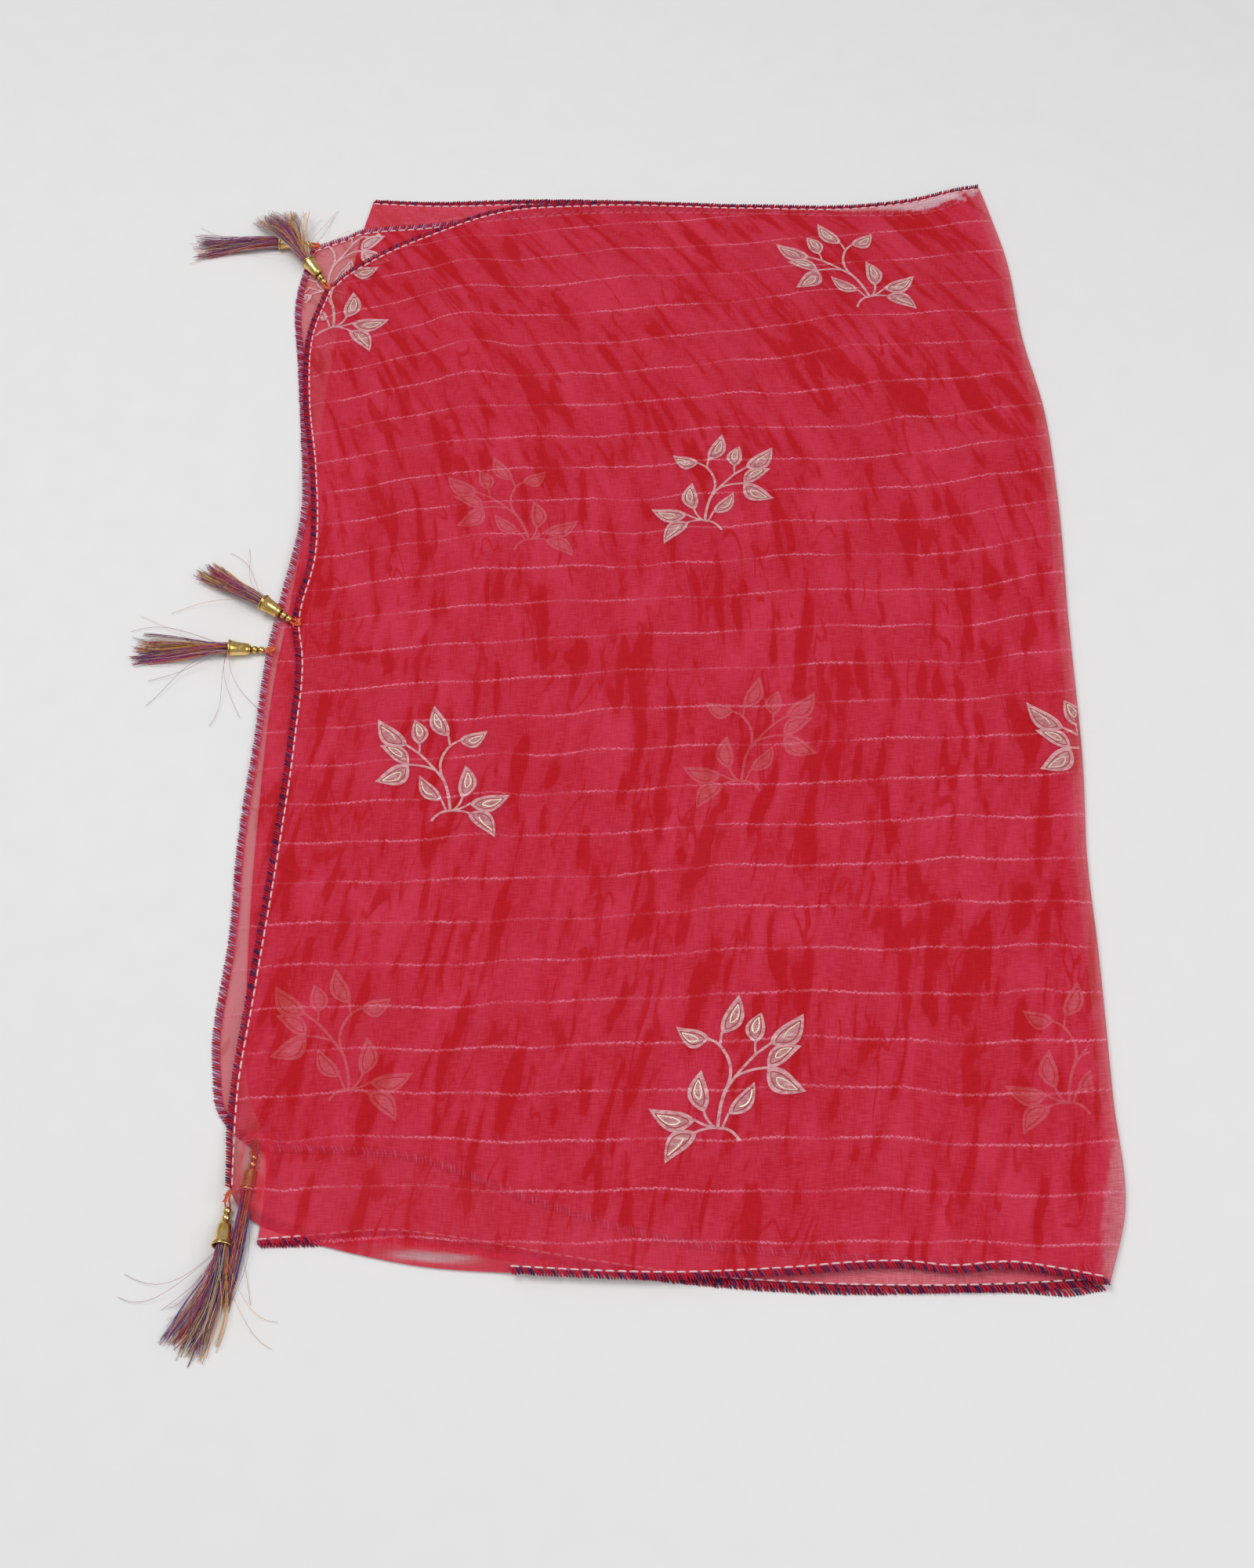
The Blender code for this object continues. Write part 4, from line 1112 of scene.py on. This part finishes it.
def cap_profile():
    """Half section of a cap: two balls, a bell with a flared lip, and the hollow inside the bell."""
    rows = []
    for centre, radius, high, low in CAP_BALLS:
        for angle in np.radians(np.linspace(high, low, 12)):
            rows.append((radius * math.cos(angle), centre + radius * math.sin(angle)))
    rows[0] = (0.0, rows[0][1])
    return np.array(rows + list(BELL))


def mouth_frame(tassel):
    """The tassel's mouth, and its directions to the side, up and back through the cap."""
    x, y, z, heading = tassel[1:5]
    angle = math.radians(heading)
    back = np.array((
        -math.cos(angle) * math.cos(CAP_TILT), -math.sin(angle) * math.cos(CAP_TILT), -math.sin(CAP_TILT),
    ))
    side = np.cross((0.0, 0.0, 1.0), back)
    side /= np.linalg.norm(side)
    return np.array((x, y, z)), side, np.cross(back, side), back


def build_cap(tassel, material):
    """One turned metal cap in place of its coarser solid."""
    rows = cap_profile()
    mouth, side, up, back = mouth_frame(tassel)
    angles = 2.0 * np.pi * np.arange(CAP_SIDES)[:, None] / CAP_SIDES
    ring = np.cos(angles) * side + np.sin(angles) * up
    radius, height = rows[1:-1].T
    spots = mouth + height[:, None, None] * back + radius[:, None, None] * ring
    index = np.arange(len(radius) * CAP_SIDES).reshape(len(radius), CAP_SIDES)
    ahead = np.roll(index, -1, axis=1)
    tip, base = index.size, index.size + 1
    faces = ring_walls(index)
    faces += [(tip, here, there) for here, there in zip(index[0], ahead[0])]
    faces += [(base, there, here) for here, there in zip(index[-1], ahead[-1])]
    ends = mouth + rows[(0, -1), 1][:, None] * back
    obj = make_object(tassel[0] + "_cap", np.concatenate((spots.reshape(-1, 3), ends)), faces, material)
    # Painted shade in the cap's grooves, ring by ring.
    groove = np.max([bump((height - middle) / reach) for middle, reach in CAP_GROOVES], axis=0)
    add_attributes(obj, groove=np.concatenate((np.repeat(groove, CAP_SIDES), (0.0, 1.0))))
    return finish_piece(obj, "gold_cap", "cap_" + tassel[0])


def thread_paths(tassel, offsets, fan, lengths, sway):
    """Paths of threads from the cap's mouth.

    Offsets hold side and up, as shares of the plug's radius, and fan the share of the half width at the tips.
    """
    _, x, y, z, heading, turn, half_width, rise, _, _ = tassel
    shares = np.linspace(0.0, 1.0, THREAD_STEPS)
    angles = np.radians(heading + turn * shares)
    ways = np.column_stack((np.cos(angles), np.sin(angles)))
    aside = np.column_stack((-np.sin(angles), np.cos(angles)))
    line = np.zeros((THREAD_STEPS, 2))
    line[1:] = np.cumsum(ways[:-1] * THREAD_LENGTH / (THREAD_STEPS - 1), axis=0)
    fall = smoothstep(shares * 1.15)
    height = z * (1.0 - fall) + TIP_HEIGHT * fall + rise * bump(2.0 * shares - 1.0)
    across = offsets[:, :1] * PLUG_RADIUS * (1.0 - 0.8 * shares) + fan[:, None] * half_width * shares ** 1.15
    across = across + sway[:, :1] * bump(2.0 * shares - 1.2) + sway[:, 1:] * shares ** 2
    plan = np.array((x, y)) + line + across[..., None] * aside
    tall = height + offsets[:, 1:] * PLUG_RADIUS * (1.0 - 0.55 * shares)
    paths = np.concatenate((plan, np.maximum(tall, LOWEST_THREAD)[..., None]), axis=2)
    root = paths[:, :1] + ROOT_DEPTH * mouth_frame(tassel)[3]
    paths = np.concatenate((root, paths), axis=1)
    # A shorter thread follows the same line, but not as far.
    reach = np.linspace(0.0, 1.0, THREAD_STEPS + 1) * lengths[:, None] * THREAD_STEPS
    low = np.clip(np.floor(reach).astype(int), 0, THREAD_STEPS - 1)
    part = (reach - low)[..., None]
    each = np.arange(len(paths))[:, None]
    return paths[each, low] * (1.0 - part) + paths[each, low + 1] * part


def stray_path(tassel, heading, turn, length):
    """The path of one thread that strays from its tassel."""
    mouth = mouth_frame(tassel)[0]
    shares = np.linspace(0.0, 1.0, THREAD_STEPS + 1)
    way = np.radians(heading + 2.6 * turn * shares ** 2 + 14.0 * shares * np.sin(6.0 * shares + heading))
    way[:2] = math.radians(tassel[4])
    step = np.column_stack((np.cos(way), np.sin(way))) * length / THREAD_STEPS
    plan = mouth[:2] + np.cumsum(step, axis=0) - 2.0 * step[:1]
    fall = smoothstep(1.3 * shares)
    return np.column_stack((plan, mouth[2] * (1.0 - fall) + fall + 2.2 * bump(2.0 * shares - 0.9)))


def build_threads(number, material):
    """All the threads of one tassel, in locks that part towards the tips, and its strays."""
    tassel = TASSELS[number]
    draw = np.random.default_rng(40 + number)
    count = LOCKS * LOCK_THREADS
    angle = draw.uniform(0.0, 2.0 * np.pi, LOCKS)
    radius = 0.85 * np.sqrt(draw.uniform(0.0, 1.0, LOCKS))
    lock = np.column_stack((radius * np.cos(angle), radius * np.sin(angle)))
    lock = np.repeat(lock, LOCK_THREADS, axis=0)
    offsets = np.clip(lock + draw.normal(0.0, 0.17, lock.shape), -0.98, 0.98)
    fan = np.repeat(np.linspace(-1.0, 1.0, LOCKS) * draw.uniform(0.75, 1.0, LOCKS), LOCK_THREADS)
    fan = fan + draw.normal(0.0, 0.07, count)
    offsets = offsets[np.argsort(lock[:, 0] + draw.normal(0.0, 0.4, count))]
    lengths = np.repeat(draw.uniform(0.80, 1.0, LOCKS), LOCK_THREADS) * draw.uniform(0.90, 1.0, count)
    lengths *= THREAD_SHARES.get(tassel[0], 1.0)
    spread = 0.25 + tassel[6] / 20.0
    sway = np.repeat(draw.normal(0.0, 2.1, (LOCKS, 2)), LOCK_THREADS, axis=0) * spread
    sway += draw.normal(0.0, 0.6, (count, 2)) * spread
    paths = thread_paths(tassel, offsets, fan, lengths, sway)
    paths[:, 2:, :2] += np.cumsum(draw.normal(0.0, 0.10, (count, THREAD_STEPS - 1, 2)), axis=1)
    paths[:, 2:, 2] += draw.normal(0.0, 0.10, (count, THREAD_STEPS - 1))
    run = np.linspace(0.0, 1.0, THREAD_STEPS + 1)
    phase = np.repeat(draw.uniform(0.0, 2.0 * np.pi, (LOCKS, 1, 2)), LOCK_THREADS, axis=0)
    paths[:, :, :2] += 0.9 * spread * run[:, None] * np.sin(7.0 * run[:, None] + phase)
    variety = 0.3 if tassel is HIDDEN_TASSEL else 1.0
    dyes = variety * np.repeat(draw.random(LOCKS), LOCK_THREADS)[:, None] + draw.normal(0.0, 0.05, (count, 1))
    dyes = dyes + tassel[9] + run * np.repeat(draw.uniform(-0.2, 0.2, LOCKS), LOCK_THREADS)[:, None]
    dyes = 1.0 - np.abs(1.0 - dyes % 2.0)
    thick = draw.uniform(0.10, 0.16, count)
    strays = [row[1:] for row in STRAYS if row[0] == number]
    paths = np.concatenate((paths, [stray_path(tassel, *row[:3]) for row in strays]))
    dyes = np.concatenate((dyes, [np.full(THREAD_STEPS + 1, row[3]) for row in strays]))
    thick = np.concatenate((thick, np.full(len(strays), STRAY_RADIUS)))
    obj = tube_object(tassel[0] + "_threads", paths, thick[:, None], 3, material, dyes)
    return finish_piece(obj, "tassel_thread", "threads_" + tassel[0])


def build_loop(number, material):
    """The frayed orange-red thread that ties a cap to the hem."""
    name, x, y, z, heading, *_, length, _ = TASSELS[number]
    draw = np.random.default_rng(90 + number)
    angle = math.radians(heading)
    back = np.array((-math.cos(angle), -math.sin(angle)))
    side = np.array((-back[1], back[0]))
    start = BALL_CENTRE * math.cos(CAP_TILT) + BALL_RADIUS
    ball_height = z - BALL_CENTRE * math.sin(CAP_TILT)
    cloth_height = second_height if name.endswith("under") else top_height
    swing = np.linspace(-0.5 * np.pi, 0.5 * np.pi, LOOP_STEPS)
    paths = []
    for strand in range(LOOP_STRANDS):
        along = np.cos(swing) * draw.uniform(0.75, 1.0)
        wide = draw.uniform(0.7, 1.25)
        spot = np.array((x, y)) + back * (start + length * along)[:, None]
        spot = spot + side * (wide * np.sin(swing) * (1.0 + 0.8 * along))[:, None]
        spot += draw.normal(0.0, 0.12, spot.shape)
        clear = cloth_height(*spot.T) + 0.45 + STRAND_STEP * strand
        tall = ball_height + (clear - ball_height) * smoothstep(8.0 * along)
        paths.append(np.column_stack((spot, tall)))
    for tail in range(LOOP_TAILS):
        way = draw.uniform(-1.3, 1.3) + math.atan2(side[1], side[0]) + (math.pi if tail % 2 else 0.0)
        reach = np.linspace(0.0, draw.uniform(2.0, 4.0), LOOP_STEPS)
        way = way + 0.12 * reach
        spot = np.array((x, y)) + back * (start + 0.5 * length)
        spot = spot + np.column_stack((np.cos(way), np.sin(way))) * reach[:, None]
        paths.append(np.column_stack((spot, cloth_height(*spot.T) + 1.1 - 0.12 * reach)))
    obj = tube_object(name + "_loop", np.array(paths), LOOP_RADIUS, 5, material)
    return finish_piece(obj, "loop_thread", "loop_" + name)


def add_light(name, place, aim, size, power, colour):
    """A soft area light."""
    data = bpy.data.lights.new(name, "AREA")
    data.shape = "DISK"
    data.size = size
    data.energy = power
    data.color = colour
    obj = bpy.data.objects.new(name, data)
    obj.location = place
    obj.rotation_euler = (Vector(aim) - Vector(place)).to_track_quat("-Z", "Y").to_euler()
    bpy.context.scene.collection.objects.link(obj)


def build_studio():
    """A plain pale floor, soft light and the camera at the photograph's angle."""
    scene = bpy.context.scene
    scene.view_settings.view_transform = "Standard"
    world = bpy.data.worlds.new("studio")
    scene.world = world
    world.use_nodes = True
    world.node_tree.nodes["Background"].inputs[0].default_value = (0.96, 0.97, 1.0, 1.0)
    world.node_tree.nodes["Background"].inputs[1].default_value = 0.38
    material, tree, shader = new_material("floor", Roughness=0.85, Specular_IOR_Level=0.1)
    grain = object_noise(tree, 60.0)
    feed(shader.inputs["Base Color"], blend(grain, (0.790, 0.785, 0.775), (0.820, 0.815, 0.805)))
    reach = 6000.0
    corners = ((-reach, -reach, 0.0), (reach, -reach, 0.0), (reach, reach, 0.0), (-reach, reach, 0.0))
    make_object("floor", corners, [(0, 1, 2, 3)], material)
    add_light("key", (-0.65, 0.2, 1.8), (0.0, 0.0, 0.0), 1.1, 17.5, (1.0, 0.985, 0.98))
    add_light("fill", (1.2, -0.7, 1.5), (0.0, 0.0, 0.0), 1.6, 14.0, (0.97, 0.98, 1.0))
    data = bpy.data.cameras.new("camera")
    data.lens = 46.8
    data.sensor_width = 36.0
    data.clip_start = 0.01
    camera = bpy.data.objects.new("camera", data)
    camera.location = (0.0118, -0.548, 0.81)
    camera.rotation_euler = (math.radians(31.16), 0.0, 0.0)
    scene.collection.objects.link(camera)
    scene.camera = camera


build_studio()
top_cloth = cloth_material("top_cloth", 0.62, 1.0)
second_cloth = cloth_material("second_cloth", 0.66, 0.7)
inner_cloth = cloth_material("inner_cloth", 0.96, 0.6, 0.22)
overlock = thread_material("overlock_thread", HEM_DYES, 0.55, 0.2)
topstitch = plain_thread_material("topstitch_thread", (0.700, 0.360, 0.400), (0.930, 0.660, 0.680), 0.55)
leaf_print = print_material("leaf_print", (0.550, 0.230, 0.250), (0.720, 0.400, 0.410), 0.93)
faded_print = print_material("faded_print", (0.640, 0.330, 0.360), (0.800, 0.520, 0.530), 0.88)
eye_print = print_material("eye_print", (0.500, 0.160, 0.180), (0.660, 0.330, 0.340), 0.82)
vein_print = plain_thread_material("vein_print", (0.300, 0.012, 0.025), (0.430, 0.040, 0.055), 0.7)
foil = foil_material()
tassel_thread = thread_material("tassel_thread_dyed", THREAD_DYES, 0.30, 0.5)
loop_thread = plain_thread_material("loop_thread_twist", (0.520, 0.045, 0.012), (0.900, 0.180, 0.030), 0.6)
gold = gold_material()

top_sheet = finish_piece(build_top_sheet(top_cloth), "sheer_cloth", "top_layer")
second_sheet = finish_piece(build_second_sheet(second_cloth), "sheer_cloth", "second_layer")
inner_sheet = finish_piece(build_inner_sheet(inner_cloth), "sheer_cloth", "inner_layers")
top_hems = build_hems("top", overlock, topstitch)
second_hems = build_hems("second", overlock, topstitch)
inner_hems = build_hems("inner", overlock, topstitch)
top_prints = [
    build_sprigs("top_leaves", "top", "fill", leaf_print, 0.12),
    build_sprigs("top_leaf_eyes", "top", "eye", eye_print, 0.16),
    build_sprigs("top_veins", "top", "vein", vein_print, 0.20),
    build_sprigs("top_foil", "top", "foil", foil, 0.27),
]
second_prints = [
    build_sprigs("second_leaves", "second", "fill", faded_print, 0.10),
    build_sprigs("second_veins", "second", "vein", vein_print, 0.16),
]
top_hems + top_prints
second_hems + second_prints
for tassel_number in range(len(TASSELS)):
    build_cap(TASSELS[tassel_number], gold)
    build_threads(tassel_number, tassel_thread)
    build_loop(tassel_number, loop_thread)
